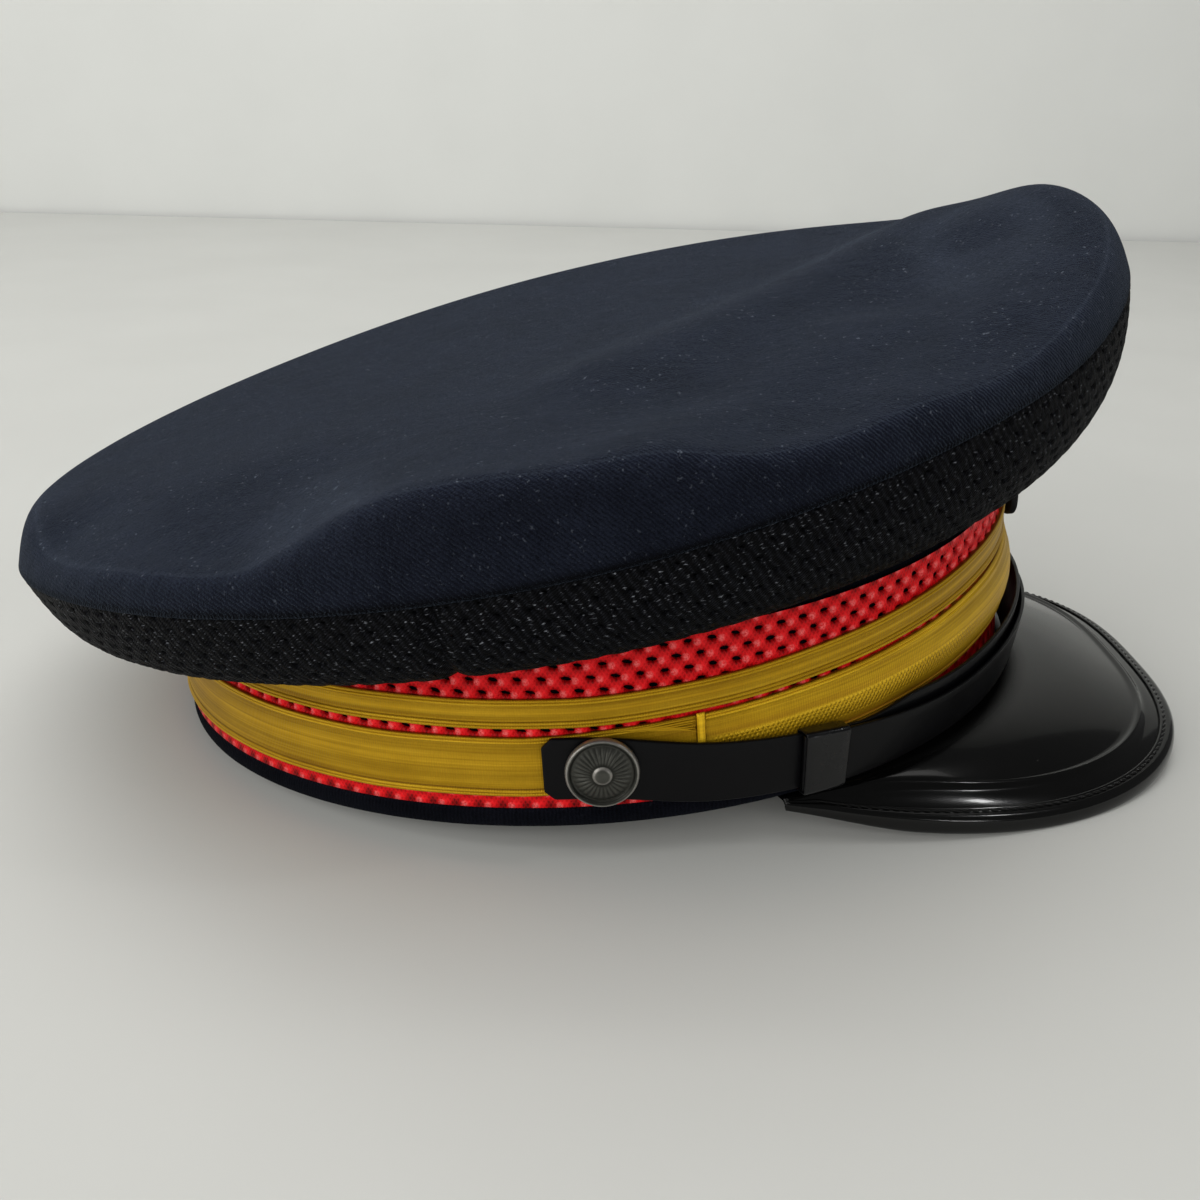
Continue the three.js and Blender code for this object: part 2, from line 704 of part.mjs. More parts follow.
// The plain backing of the badge, standing on the band in front.
function badgePad() {
  const high = bandPoint(0, 0, bandHeight).z + badgeTopRise;
  const outline = new THREE.Shape();
  const half = badgeWidth / 2;
  outline.moveTo(-half, 0);
  outline.lineTo(-half, badgeCorner - badgeHeight);
  outline.quadraticCurveTo(-half, -badgeHeight, badgeCorner - half, -badgeHeight);
  outline.lineTo(half - badgeCorner, -badgeHeight);
  outline.quadraticCurveTo(half, -badgeHeight, half, badgeCorner - badgeHeight);
  outline.lineTo(half, 0);
  outline.closePath();
  const geometry = new THREE.ExtrudeGeometry(outline, {
    depth: badgeDepth, bevelEnabled: false, curveSegments: 4,
  });
  geometry.rotateX(Math.PI / 2);
  return geometry.translate(0, bandPoint(0, layerGap, bandHeight).y, high);
}

const cap = new THREE.Group();

function addPiece(name, geometry, look) {
  const mesh = new THREE.Mesh(geometry, new THREE.MeshStandardMaterial(look));
  mesh.name = name;
  cap.add(mesh);
  return mesh;
}

const navyCloth = { color: 0x161d2e, roughness: 0.9, metalness: 0 };
const blackKnit = { color: 0x0c0d12, roughness: 0.7, metalness: 0 };
const redMesh = { color: 0xd9202e, roughness: 0.65, metalness: 0 };
const goldBraid = { color: 0xb5922c, roughness: 0.45, metalness: 0.5 };
const glossBlack = { color: 0x050506, roughness: 0.08, metalness: 0 };
const vinyl = { color: 0x111114, roughness: 0.4, metalness: 0 };
const silver = { color: 0x9a9a92, roughness: 0.35, metalness: 0.9 };

addPiece('crown_top', crownTop(), navyCloth);
addPiece('mesh_front', sidePanel(-sideSeamTurn, sideSeamTurn, 34), blackKnit);
addPiece('mesh_rear', sidePanel(sideSeamTurn, 360 - sideSeamTurn, 26), blackKnit);
addPiece('band_base', bandBase(), navyCloth);
addPiece('band_mesh', bandMesh(), redMesh);
addPiece('gold_braid_upper', upperBraid(), goldBraid);
addPiece('gold_braid_lower_front', lowerBraid(-braidJoinTurn, braidJoinTurn, 28, swellAt), goldBraid);
addPiece('gold_braid_lower_rear', lowerBraid(braidJoinTurn, 360 - braidJoinTurn, 34, () => 0), goldBraid);
addPiece('peak', peakPlate(), glossBlack);
addPiece('peak_binding', peakBinding(), glossBlack);
addPiece('chin_strap_right', strapHalf(-keeperRearTurn, strapEndTurn, () => 0), vinyl);
addPiece('chin_strap_left', strapHalf(-strapEndTurn, keeperRearTurn, (turn) => (
  THREE.MathUtils.smoothstep(turn, -strapEndTurn * 0.87, -keeperRearTurn)
)), vinyl);
for (const [label, side] of [['right', 1], ['left', -1]]) {
  addPiece(`braid_end_${label}`, braidEnd(side), goldBraid);
  addPiece(`strap_keeper_${label}`, keeper(side), vinyl);
  placeButton(addPiece(`button_${label}`, buttonGeometry(), silver), side);
}
addPiece('badge_pad', badgePad(), vinyl);

// Tip the cap about the back of its band until the peak's lowest edge meets the table.
const heel = bandPoint(180, bandMeshOut - layerGap, 0);
const bindingPoints = cap.getObjectByName('peak_binding').geometry.attributes.position;
let restTilt = 0;
for (let index = 0; index < bindingPoints.count; index += 1) {
  const point = new THREE.Vector3().fromBufferAttribute(bindingPoints, index).sub(heel);
  restTilt = Math.max(restTilt, Math.atan2(-point.z, -point.y));
}
cap.rotation.x = -restTilt;

// Stand it with the middle of its outline over the origin.
const standing = new THREE.Group();
standing.add(cap);
standing.updateMatrixWorld(true);
const outlineBox = new THREE.Box3().setFromObject(standing, true);
const centre = outlineBox.getCenter(new THREE.Vector3());
standing.position.set(-centre.x, -centre.y, -outlineBox.min.z);

export default standing;
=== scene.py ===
import math
import bmesh
import bpy
import numpy as np
from mathutils import Matrix, Vector


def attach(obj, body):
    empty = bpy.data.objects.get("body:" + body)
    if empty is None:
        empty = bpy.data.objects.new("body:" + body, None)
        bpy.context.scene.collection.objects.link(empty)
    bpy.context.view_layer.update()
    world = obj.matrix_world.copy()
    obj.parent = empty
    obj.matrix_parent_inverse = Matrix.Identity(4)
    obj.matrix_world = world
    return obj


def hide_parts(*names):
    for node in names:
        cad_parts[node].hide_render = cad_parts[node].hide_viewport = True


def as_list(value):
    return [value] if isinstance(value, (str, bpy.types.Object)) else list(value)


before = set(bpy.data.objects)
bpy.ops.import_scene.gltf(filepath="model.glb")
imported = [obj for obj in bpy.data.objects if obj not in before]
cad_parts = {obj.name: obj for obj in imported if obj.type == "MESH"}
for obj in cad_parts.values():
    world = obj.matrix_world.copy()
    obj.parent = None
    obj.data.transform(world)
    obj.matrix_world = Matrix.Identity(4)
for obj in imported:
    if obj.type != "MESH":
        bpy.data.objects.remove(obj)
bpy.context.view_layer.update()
rng = np.random.default_rng(7)

# Sizes in millimetres, upright on the band before the cap is tipped. STAND is where the tipped
# cap's origin lies, and outwards is measured from the face of the gold braid.
TILT = 0.08566885769258092
STAND = np.array([0.0, 5.032725477074209, 8.958561967402558])
HALF_LENGTH, HALF_WIDTH = 106.3, 91.8
BAND_HEIGHT, FRONT_EXTRA = 41.6, 7.2
TAPER, FRONT_LEAN = 0.054, 0.063
GAP = 0.3
HEM_HEIGHT = 4.5
BRAID_THICKNESS = 1.0
MESH_OUT = -BRAID_THICKNESS - GAP
MESH_THICKNESS = 1.0
BASE_OUT = MESH_OUT - MESH_THICKNESS - GAP
BASE_INNER = BASE_OUT - 2.0
LOWER_LOW, LOWER_HIGH = 8.0, 21.0
UPPER_LOW, UPPER_HIGH = 23.1, 29.4
BRAID_SWELL, TRIM_CLIMB = 1.8, 7.4
CROWN_LENGTH, CROWN_WIDTH = HALF_LENGTH + 26.7, HALF_WIDTH + 22.2
CROWN_SHIFT, CROWN_RISE = 3.9, 70.6
CROWN_THICKNESS = 1.5
RIM_ROUNDING, RIM_SHOULDER, RIM_REACH = 3.1, 6.0, 3.0
SIDE_POUCH, SIDE_SKEW, SIDE_INSET = 10.3, 1.455, 2.0
STRAP_WIDTH, STRAP_THICKNESS, STRAP_LIFT, STRAP_OFF = 13.5, 1.0, 7.8, 1.2
STRAP_TUCK = 2.4
KEEPER_LENGTH, KEEPER_THICKNESS = 8.8, 0.6
BUTTON_RADIUS, BUTTON_HEIGHT = 7.5, 3.4
PEAK_CENTRE, PEAK_POWER, PEAK_REACH = 5.5, 2 / 2.8, 42.8
PEAK_DROP, PEAK_CORNER_DROP, PEAK_CHEEK = 15.7, 1.6, 1.4
PEAK_THICKNESS, PEAK_BOW = 1.8, 1.6
RIM_WIDTH, RIM_SIDE_WIDTH, RIM_RISE, RIM_SIDE_RISE = 8.0, 6.4, 3.5, 7.8
BEAD_HEIGHT, BEAD_WIDTH = 0.9, 2.2
BINDING_THICKNESS, BINDING_WIDTH = 0.8, 3.6

# Turns are degrees round the band from its front, the wearer's right first.
BUTTON_TURN = math.degrees(math.acos(4.3 / HALF_LENGTH))


def turn_ahead(length):
    return BUTTON_TURN - math.degrees(length / HALF_LENGTH)


JOIN_TURN = turn_ahead(20.6)
KEEPER_TURN = turn_ahead(46.4)
STRAP_END = turn_ahead(-11.8)
SEAM_TURN = 90 + math.degrees(math.asin(14.8 / HALF_LENGTH))
KEEPER_HALF = math.degrees(KEEPER_LENGTH / 2 / HALF_WIDTH)

# The open mesh: hole to hole along a row, row to row, and the middle of the red mesh's first row.
PITCH, ROW = 4.9, 2.75
FIRST_RED_ROW = 5.5

# Patterns run along the band on a circle of this radius.
PATTERN_RADIUS = 99

# Points closer than this are one point of a mesh.
WELD = 0.002

# Crown and strap by turn from the front.
CROWN_TURNS = [0, 45, 90, 135, 180]
CROWN_SEAM = [0.805, 0.583, 0.313, 0.153, 0.041]
CROWN_CLIMB = [0.94, 2.58, 2.53, 1.5, 2.16]
CROWN_SAG = [0.68, 0.77, 1.0, 1.23, 1.33]
STRAP_TURNS = [0, 15, 30, 45, 60, 75, 87.7, 100]
STRAP_LOW = [0.54, 0.5, 0.41, 0.3, 0.28, 0.52, 1, 1]
STRAP_SHARE = [0.77, 0.77, 0.77, 0.79, 0.93, 1, 1, 1]
STRAP_TUCKED = [1, 1, 1, 1, 0.75, 0.4, 0, 0]
STRAP_ROOM = [1, 1, 1, 1, 1, 1, 0.1, 0.1]
STRAP_STAND = [1, 0.8, 0.5, 0.2, 0, 0, 0, 0]


# Shapes

def curve_table(turns, values):
    """A smooth curve through the rows, as dense turns and values from 0 to 180 degrees."""
    dense = np.linspace(0, 180, 721)
    out = []
    for angle in dense:
        row = 0
        while row < len(turns) - 2 and angle > turns[row + 1]:
            row += 1
        a, b = turns[row], turns[row + 1]
        va, vb = values[row], values[row + 1]
        ta, vbefore = (turns[row - 1], values[row - 1]) if row > 0 else (2 * a - b, vb)
        tb, vafter = (turns[row + 2], values[row + 2]) if row + 2 < len(turns) else (2 * b - a, va)
        span = b - a
        s = min(1, (angle - a) / span)
        m0 = (vb - vbefore) / (b - ta) * span
        m1 = (vafter - va) / (tb - a) * span
        out.append((2 * s**3 - 3 * s**2 + 1) * va + (s**3 - 2 * s**2 + s) * m0
                   + (3 * s**2 - 2 * s**3) * vb + (s**3 - s**2) * m1)
    return dense, np.array(out)


TABLES = {
    "seam": curve_table(CROWN_TURNS, CROWN_SEAM),
    "climb": curve_table(CROWN_TURNS, CROWN_CLIMB),
    "sag": curve_table(CROWN_TURNS, CROWN_SAG),
    "low": curve_table(STRAP_TURNS, STRAP_LOW),
    "room": curve_table(STRAP_TURNS, STRAP_ROOM),
    "stand": curve_table(STRAP_TURNS, STRAP_STAND),
    "width": curve_table(STRAP_TURNS, STRAP_SHARE),
    "tuck": curve_table(STRAP_TURNS, STRAP_TUCKED),
}


def off_front(turn):
    """The turn from the front to either side, 0 to 180 degrees."""
    return np.abs((np.asarray(turn, float) + 180) % 360 - 180)


def read(name, turn):
    return np.interp(off_front(turn), *TABLES[name])


def smoothstep(low, high, value):
    s = np.clip((np.asarray(value, float) - low) / (high - low), 0, 1)
    return s * s * (3 - 2 * s)


def stacked(*values):
    """Values broadcast together as the last axis of one array."""
    return np.stack(np.broadcast_arrays(*values), -1)


def running(points):
    """Length run along rows of points, from 0."""
    return np.concatenate([[0], np.cumsum(np.linalg.norm(np.diff(points, axis=0), axis=1))])


def quarter(cx, cy, radius, start, count):
    """Points of a quarter circle from an angle in degrees, with their outward directions."""
    return [(cx + radius * math.cos(a), cy + radius * math.sin(a), math.cos(a), math.sin(a))
            for a in np.radians(np.linspace(start, start + 90, count))]


def ring_point(half_length, half_width, turn, height, shift=0.0):
    a = np.radians(turn)
    x, y = -half_width * np.sin(a), -half_length * np.cos(a) + shift
    return stacked(x, y, height)


def band_point(turn, out, level):
    """A point of the band, which leans and is taller towards its front."""
    turn, out, level = np.broadcast_arrays(*map(lambda v: np.asarray(v, float), (turn, out, level)))
    facing = np.cos(np.radians(turn))
    spread = 1 + FRONT_EXTRA / BAND_HEIGHT * np.maximum(0, facing) ** 2
    reach = out + level * (FRONT_LEAN * facing - TAPER)
    return ring_point(HALF_LENGTH + reach, HALF_WIDTH + reach, turn, level * spread)


def trim_point(turn, out, level):
    """A point of the gold trim, which climbs towards the front between the band's edges."""
    facing = np.maximum(0, np.cos(np.radians(turn)))
    fade = smoothstep(0, LOWER_LOW, level) * (1 - smoothstep(UPPER_HIGH, BAND_HEIGHT, level))
    return band_point(turn, out, np.asarray(level, float) + TRIM_CLIMB * facing**1.3 * fade)


def to_row(points):
    """From upright millimetres to the row frame in metres."""
    p = np.asarray(points, float)
    c, s = math.cos(TILT), math.sin(TILT)
    x, y, z = p[..., 0], p[..., 1], p[..., 2]
    return (stacked(x, y * c + z * s, z * c - y * s) + STAND) / 1000


def across_of(turn):
    a = np.radians(np.asarray(turn, float))
    return stacked(-np.sin(a), -np.cos(a), 0.0)


def unit(v):
    return v / np.maximum(np.linalg.norm(v, axis=-1, keepdims=True), 1e-9)


class Shell:
    """Grids of points joined into one mesh, each with pattern coordinates in millimetres."""

    def __init__(self):
        self.points, self.quads, self.coords, self.count = [], [], [], 0

    def grid(self, points, coords, wraps=False, flip=False):
        """points is rows by columns by 3, and coords is one pair or triple, or as many as the
        points. A grid that wraps repeats its first column, unless coords has one more."""
        points = np.asarray(points, float)
        rows, cols = points.shape[:2]
        index = np.arange(rows * cols).reshape(rows, cols) + self.count
        coords = np.asarray(coords, float)
        if coords.shape[-1] == 2:
            coords = np.concatenate([coords, np.zeros(coords.shape[:-1] + (1,))], -1)
        if wraps and coords.ndim == 3 and coords.shape[1] == cols:
            coords = np.concatenate([coords, coords[:, :1]], 1)
        coords = np.broadcast_to(coords, (rows, cols + wraps, 3))
        if wraps:
            index = np.concatenate([index, index[:, :1]], 1)
        corners = [(slice(None, -1), slice(None, -1)), (slice(None, -1), slice(1, None)),
                   (slice(1, None), slice(1, None)), (slice(1, None), slice(None, -1))]
        if flip:
            corners = corners[::-1]
        self.quads.append(np.stack([index[c] for c in corners], -1).reshape(-1, 4))
        self.coords.append(np.stack([coords[c] for c in corners], 2).reshape(-1, 4, 3))
        self.points.append(points.reshape(-1, 3))
        self.count += rows * cols

    def cap(self, ring, coords=(0, 0), centre=None):
        """Closes a ring of points with a fan round its centre."""
        centre = ring.mean(0) if centre is None else centre
        self.grid(np.stack([ring, np.broadcast_to(centre, ring.shape)]), coords, wraps=True)

    def build(self, name, material, nodes, weld=WELD):
        """Makes the piece, which stands for its nodes."""
        points = np.concatenate(self.points)
        quads = np.concatenate(self.quads)
        coords = np.concatenate(self.coords)
        if weld:
            keys = np.round(points / weld).astype(np.int64)
            _, first, back = np.unique(keys, axis=0, return_index=True, return_inverse=True)
            points, quads = points[first], back.reshape(-1)[quads]
        faces, uvs, seen = [], [], set()
        for quad, uv in zip(quads.tolist(), coords.tolist()):
            kept = [k for k in range(4) if quad[k] not in quad[:k]]
            corners = frozenset(quad)
            if len(kept) < 3 or corners in seen:
                continue
            seen.add(corners)
            faces.append([quad[k] for k in kept])
            uvs.extend(uv[k] for k in kept)
        mesh = bpy.data.meshes.new(name)
        mesh.from_pydata(to_row(points).tolist(), [], faces)
        uvs = np.array(uvs, np.float32)
        mesh.uv_layers.new(name="pattern").data.foreach_set("uv", uvs[:, :2].ravel())
        mesh.uv_layers.new(name="share").data.foreach_set("uv", uvs[:, [2, 2]].ravel())
        mesh.polygons.foreach_set("use_smooth", [True] * len(mesh.polygons))
        mesh.materials.append(material)
        mesh.validate()
        mesh.update()
        piece = bpy.data.objects.new(name, mesh)
        bpy.context.scene.collection.objects.link(piece)
        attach(piece, "root")
        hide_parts(*nodes)
        return piece


def outward(piece):
    """Turns a closed piece's faces outwards."""
    bm = bmesh.new()
    bm.from_mesh(piece.data)
    bmesh.ops.recalc_face_normals(bm, faces=bm.faces)
    bm.to_mesh(piece.data)
    bm.free()
    return piece


# Materials

class Nodes:
    """A short way to write a material's nodes."""

    SOCKETS = {"base": "Base Color", "rough": "Roughness", "metal": "Metallic", "normal": "Normal",
               "sheen": "Sheen Weight", "sheen_rough": "Sheen Roughness", "sheen_tint": "Sheen Tint",
               "coat": "Coat Weight", "coat_rough": "Coat Roughness", "specular": "Specular IOR Level"}

    def __init__(self, name):
        self.material = bpy.data.materials.new(name)
        self.material.use_nodes = True
        self.tree = self.material.node_tree
        self.shader = self.tree.nodes["Principled BSDF"]
        self.shader.inputs["IOR"].default_value = 1.5

    def add(self, kind, inputs=None, **settings):
        node = self.tree.nodes.new("ShaderNode" + kind)
        for key, value in settings.items():
            setattr(node, key, value)
        for key, value in (inputs or {}).items():
            self.put(node.inputs[key], value)
        return node

    def put(self, socket, value):
        """Links a node or an output to a socket, or sets the socket's own value."""
        if isinstance(value, bpy.types.Node):
            value = value.outputs[0]
        if isinstance(value, bpy.types.NodeSocket):
            self.tree.links.new(value, socket)
        elif socket.type == "RGBA":
            socket.default_value = (*value, 1)
        else:
            socket.default_value = value

    def math(self, operation, a, b=0.0, clamp=False):
        return self.add("Math", {0: a, 1: b}, operation=operation, use_clamp=clamp).outputs[0]

    def times(self, value, *factors):
        for factor in factors:
            value = self.math("MULTIPLY", value, factor)
        return value

    def blend(self, a, share_a, b, share_b, clamp=False):
        """Two values added, each times its share."""
        return self.math("ADD", self.times(a, share_a), self.times(b, share_b), clamp)

    def axis(self, vector, index):
        return self.add("SeparateXYZ", {0: vector}).outputs[index]

    def pattern(self, scale=(1, 1, 1), turn=0.0):
        """The pattern coordinates in millimetres, turned by an angle and scaled."""
        uv = self.add("UVMap", uv_map="pattern")
        return self.add("Mapping", {0: uv, "Rotation": (0, 0, turn), "Scale": scale}).outputs[0]

    def share(self):
        """The third value of the pattern coordinates."""
        return self.axis(self.add("UVMap", uv_map="share"), 0)

    def lattice(self, pitch, row, shift=(0, 0)):
        """0 in the holes of a staggered mesh, 1 at the knots between them."""
        along, up = (self.math("ADD", self.axis(self.pattern(), i), shift[i]) for i in (0, 1))
        along = self.math("COSINE", self.times(along, 2 * math.pi / pitch))
        up = self.math("COSINE", self.times(up, math.pi / row))
        return self.math("ADD", self.times(along, up, 0.5), 0.5)

    def solid(self, scale=1.0):
        """The place in the object, in millimetres times a scale."""
        place = self.add("TexCoord").outputs["Object"]
        return self.add("Mapping", {0: place, "Scale": (1000 * scale,) * 3}).outputs[0]

    def noise(self, vector, scale, detail=4.0, rough=0.6, distortion=0.0):
        node = self.add("TexNoise", {"Vector": vector, "Scale": scale, "Detail": detail,
                                     "Roughness": rough, "Distortion": distortion})
        return node.outputs[0]

    def wave(self, vector, scale, distortion, detail, detail_scale):
        """Bands across the first axis of a vector."""
        node = self.add("TexWave", {"Vector": vector, "Scale": scale, "Distortion": distortion,
                                    "Detail": detail, "Detail Scale": detail_scale},
                        wave_type="BANDS", bands_direction="X", wave_profile="SIN")
        return node.outputs["Fac"]

    def ramp(self, value, *stops):
        """Colours through (place, colour) stops."""
        node = self.add("ValToRGB", {0: value})
        elements = node.color_ramp.elements
        while len(elements) < len(stops):
            elements.new(0.5)
        for element, (place, colour) in zip(elements, stops):
            element.position = place
            element.color = (*colour, 1)
        return node.outputs[0]

    def fade(self, value, *stops):
        """Greys through (place, level) stops."""
        return self.ramp(value, *[(place, (level,) * 3) for place, level in stops])

    def mix(self, factor, a, b, blend="MIX"):
        node = self.add("Mix", data_type="RGBA", blend_type=blend, clamp_factor=True)
        for index, value in ((0, factor), (6, a), (7, b)):
            self.put(node.inputs[index], value)
        return node.outputs[2]

    def tint(self, colour, by):
        return self.mix(1.0, colour, by, "MULTIPLY")

    def bump(self, height, distance, strength=1.0, below=None):
        """A bump from a height of 0 to 1 that stands for a distance in millimetres."""
        node = self.add("Bump", {"Height": height, "Strength": strength, "Distance": distance / 1000})
        if below is not None:
            self.put(node.inputs["Normal"], below)
        return node.outputs[0]

    def set(self, **values):
        for key, value in values.items():
            self.put(self.shader.inputs[self.SOCKETS[key]], value)
        return self.material


def twill(name, dark, light, lint, sheen):
    """Wool cloth: slanting twill lines, worn felt patches and pale lint. The weave shows less where it
    faces up, and painted shade darkens the cloth where it faces away from up; a painted sheen
    lightens the crest where the top turns to the side, and painted shadow darkens it along the seam."""
    n = Nodes(name)
    up = n.axis(n.add("NewGeometry").outputs["Normal"], 2)
    # Painted shade: level falls where the cloth faces away from up, and darkens the colour and dims the
    # lint there.
    level = n.fade(up, (0.35, 0.30), (0.85, 1))
    lines = n.wave(n.pattern(), 0.40, 4.2, 4.0, 1.8)
    yarn = n.wave(n.pattern(turn=math.radians(75)), 0.62, 3.0, 2.0, 1.6)
    weave = n.times(n.blend(lines, 0.75, yarn, 0.25), n.fade(up, (0.70, 1), (0.93, 0.25)))
    felt = n.fade(n.noise(n.solid(), 1.5, 5.0, 0.8), (0.36, 0), (0.66, 1))
    patch = n.fade(n.noise(n.solid(), 0.055, 7.0, 0.78), (0.38, 0), (0.62, 1))
    colour = n.ramp(n.blend(weave, 0.5, felt, 0.5), (0.12, dark), (0.85, light))
    colour = n.mix(n.times(patch, 0.55), colour, n.tint(colour, (2.3, 2.3, 2.15)))
    # Painted shade on the faces turned away from up.
    colour = n.mix(n.math("SUBTRACT", 1.0, level), colour, n.tint(colour, (0.34, 0.34, 0.34)))
    specks = n.fade(n.noise(n.solid(), 0.9, 2.0, 0.7), (0.665, 0), (0.72, 1))
    strands = n.noise(n.pattern((0.22, 1.7, 1), 0.5), 1.0, 3.0, 0.6, 2.5)
    fluff = n.math("MAXIMUM", specks, n.fade(strands, (0.70, 0), (0.76, 1)))
    colour = n.mix(n.times(fluff, lint, level), colour, (0.11, 0.125, 0.155))
    # Painted sheen: a pale line where the top turns over to the side.
    painted_crest_sheen = n.fade(up, (0.80, 0), (0.87, 1), (0.93, 0))
    painted_crest_sheen = n.times(painted_crest_sheen, sheen * 2.2, n.math("ADD", felt, 0.3))
    colour = n.mix(painted_crest_sheen, colour, (0.050, 0.062, 0.086))
    # Painted shadow along the seam, where the share coordinate is high.
    colour = n.mix(n.share(), colour, (0.0010, 0.0011, 0.0018))
    normal = n.bump(felt, 0.16, 0.8, n.bump(weave, 0.18, 0.9))
    normal = n.bump(n.noise(n.solid(), 0.22, 4.0, 0.7), 0.7, 0.8, normal)
    return n.set(base=colour, rough=n.math("ADD", n.times(felt, 0.15), 0.8), normal=normal,
                 sheen=sheen, sheen_rough=0.30, sheen_tint=(0.55, 0.70, 0.95), specular=0.05)


def knit(name):
    """Black knitted yarn: slanting wavy loops, dull on the whole, with painted glints strongest under the
    seam.
    """
    n = Nodes(name)
    near_seam = n.fade(n.share(), (0.0, 0.25), (0.55, 0.35), (0.9, 1))
    loops = n.wave(n.pattern(turn=math.radians(24)), 0.24, 4.5, 2.0, 1.3)
    strands = n.wave(n.pattern((1, 1.6, 1), math.radians(-38)), 0.55, 3.0, 3.0, 2.0)
    fine = n.noise(n.pattern(), 2.4, 4.0, 0.7)
    height = n.blend(loops, 0.6, strands, 0.4)
    colour = n.ramp(n.blend(height, 0.7, fine, 0.3), (0.25, (0.0006, 0.0006, 0.0009)),
                    (0.6, (0.0020, 0.0022, 0.0030)), (0.85, (0.0070, 0.0076, 0.0100)))
    # Painted glints on the loops, strongest near the seam.
    painted_glints = n.fade(n.noise(n.pattern((0.8, 2.2, 1), 0.45), 1.05, 2.0, 0.6), (0.61, 0), (0.70, 1))
    colour = n.mix(n.times(painted_glints, loops, near_seam), colour, (0.16, 0.17, 0.19))
    normal = n.bump(fine, 0.15, 0.7, n.bump(height, 0.45, 1.0))
    return n.set(base=colour, rough=0.6, normal=normal, specular=0.06)


def crossed_waves(n, lean, *settings):
    """Two bands of threads that lean either way by an angle in degrees."""
    return [n.wave(n.pattern(turn=math.radians(angle)), *settings) for angle in (lean, -lean)]


def mesh_cloth(name, tones, knot_highlight):
    """Cloth woven from slanting shiny strands round staggered holes. tones run from the rim of
    a hole, as painted shade, to the knot between two holes; the last argument is the colour and share of a
    painted highlight beside each hole."""
    n = Nodes(name)
    fine = n.noise(n.pattern(), 2.2, 4.0, 0.7)
    strands = n.math("MAXIMUM", *crossed_waves(n, 32, 0.40, 1.2, 2.0, 1.5))
    height = n.blend(strands, 0.65, fine, 0.5)
    knots = n.lattice(PITCH, ROW)
    # Painted shade: darkest at the rim of each hole, palest on the knots.
    colour = n.ramp(n.blend(knots, 0.6, height, 0.26), *zip((0.15, 0.5, 0.85), tones))
    # Painted highlight beside each hole, where its knot catches the light.
    beside = n.lattice(PITCH, ROW, (-0.7, 0.25))
    painted_glint_mask = n.times(n.fade(beside, (0.74, 0), (0.99, 1)), n.fade(fine, (0.38, 0), (0.55, 1)), knot_highlight[3])
    colour = n.mix(painted_glint_mask, colour, knot_highlight[:3])
    return n.set(base=colour, rough=0.45, normal=n.bump(height, 0.16, 1.0), coat=0.04,
                 coat_rough=0.22, specular=0.10)


def hatching(n, lines, colour, normal, rough):
    """The front length of braid: hatched threads along its worn swell, a dark line of painted shade over
    them and painted shade on the foot under them, where the swell turns down."""
    along = n.times(n.math("ABSOLUTE", n.axis(n.pattern(), 0)), 1 / 150)
    across = n.times(n.axis(n.pattern(), 1), 1 / (LOWER_HIGH - LOWER_LOW))
    worn = n.times(n.fade(along, (0.22, 0), (0.50, 1), (0.85, 1), (0.875, 0)),
                   n.fade(across, (0.22, 0), (0.30, 1), (0.52, 1), (0.60, 0)))
    # Painted shade: a dark line above the hatched threads.
    painted_groove_shade = n.times(n.fade(across, (0.56, 0), (0.63, 0.7), (0.71, 0)),
                     n.fade(along, (0.45, 0), (0.80, 1)))
    colour = n.mix(painted_groove_shade, colour, (0.30, 0.130, 0.006))
    # Painted shade on the lower part of the swell, which turns down away from the light.
    painted_foot_shade = n.times(n.fade(across, (0.10, 0.85), (0.34, 0)), n.fade(lines, (0.40, 0.4), (0.60, 1)))
    colour = n.mix(painted_foot_shade, colour, (0.30, 0.115, 0.006))
    hatch = n.times(*crossed_waves(n, 34, 0.36, 0.5, 1.0, 1.0), worn)
    return colour, n.bump(hatch, 0.24, 1.0, normal), n.math("SUBTRACT", rough, n.times(worn, 0.14))


def braid(name, hatched, tones):
    """Metal thread ribbon: fine cross threads, long faint streaks, and hatching where asked."""
    n = Nodes(name)
    threads = n.wave(n.pattern(), 0.60, 0.8, 1.0, 1.0)
    lines = n.noise(n.pattern((0.012, 1.6, 1)), 1.0, 3.0, 0.55)
    wear = n.noise(n.pattern((0.03, 0.12, 1)), 1.0, 5.0, 0.7)
    colour = n.ramp(n.blend(lines, 0.6, wear, 0.4), *zip((0.36, 0.5, 0.62), tones))
    colour = n.mix(n.times(threads, 0.12), colour, (0.36, 0.21, 0.01))
    # Painted shade in the grooves and painted light on the cords, by the share coordinate.
    colour = n.tint(colour, n.ramp(n.share(), (0.0, (0.30, 0.22, 0.14)), (0.4, (0.86, 0.84, 0.80)),
                                   (0.8, (1.15, 1.15, 1.2))))
    normal = n.bump(threads, 0.05, 0.9)
    rough = n.math("ADD", n.times(wear, 0.25), 0.34)
    if hatched:
        colour, normal, rough = hatching(n, lines, colour, normal, rough)
    return n.set(base=colour, metal=0.6, rough=rough, normal=normal, specular=0.2)


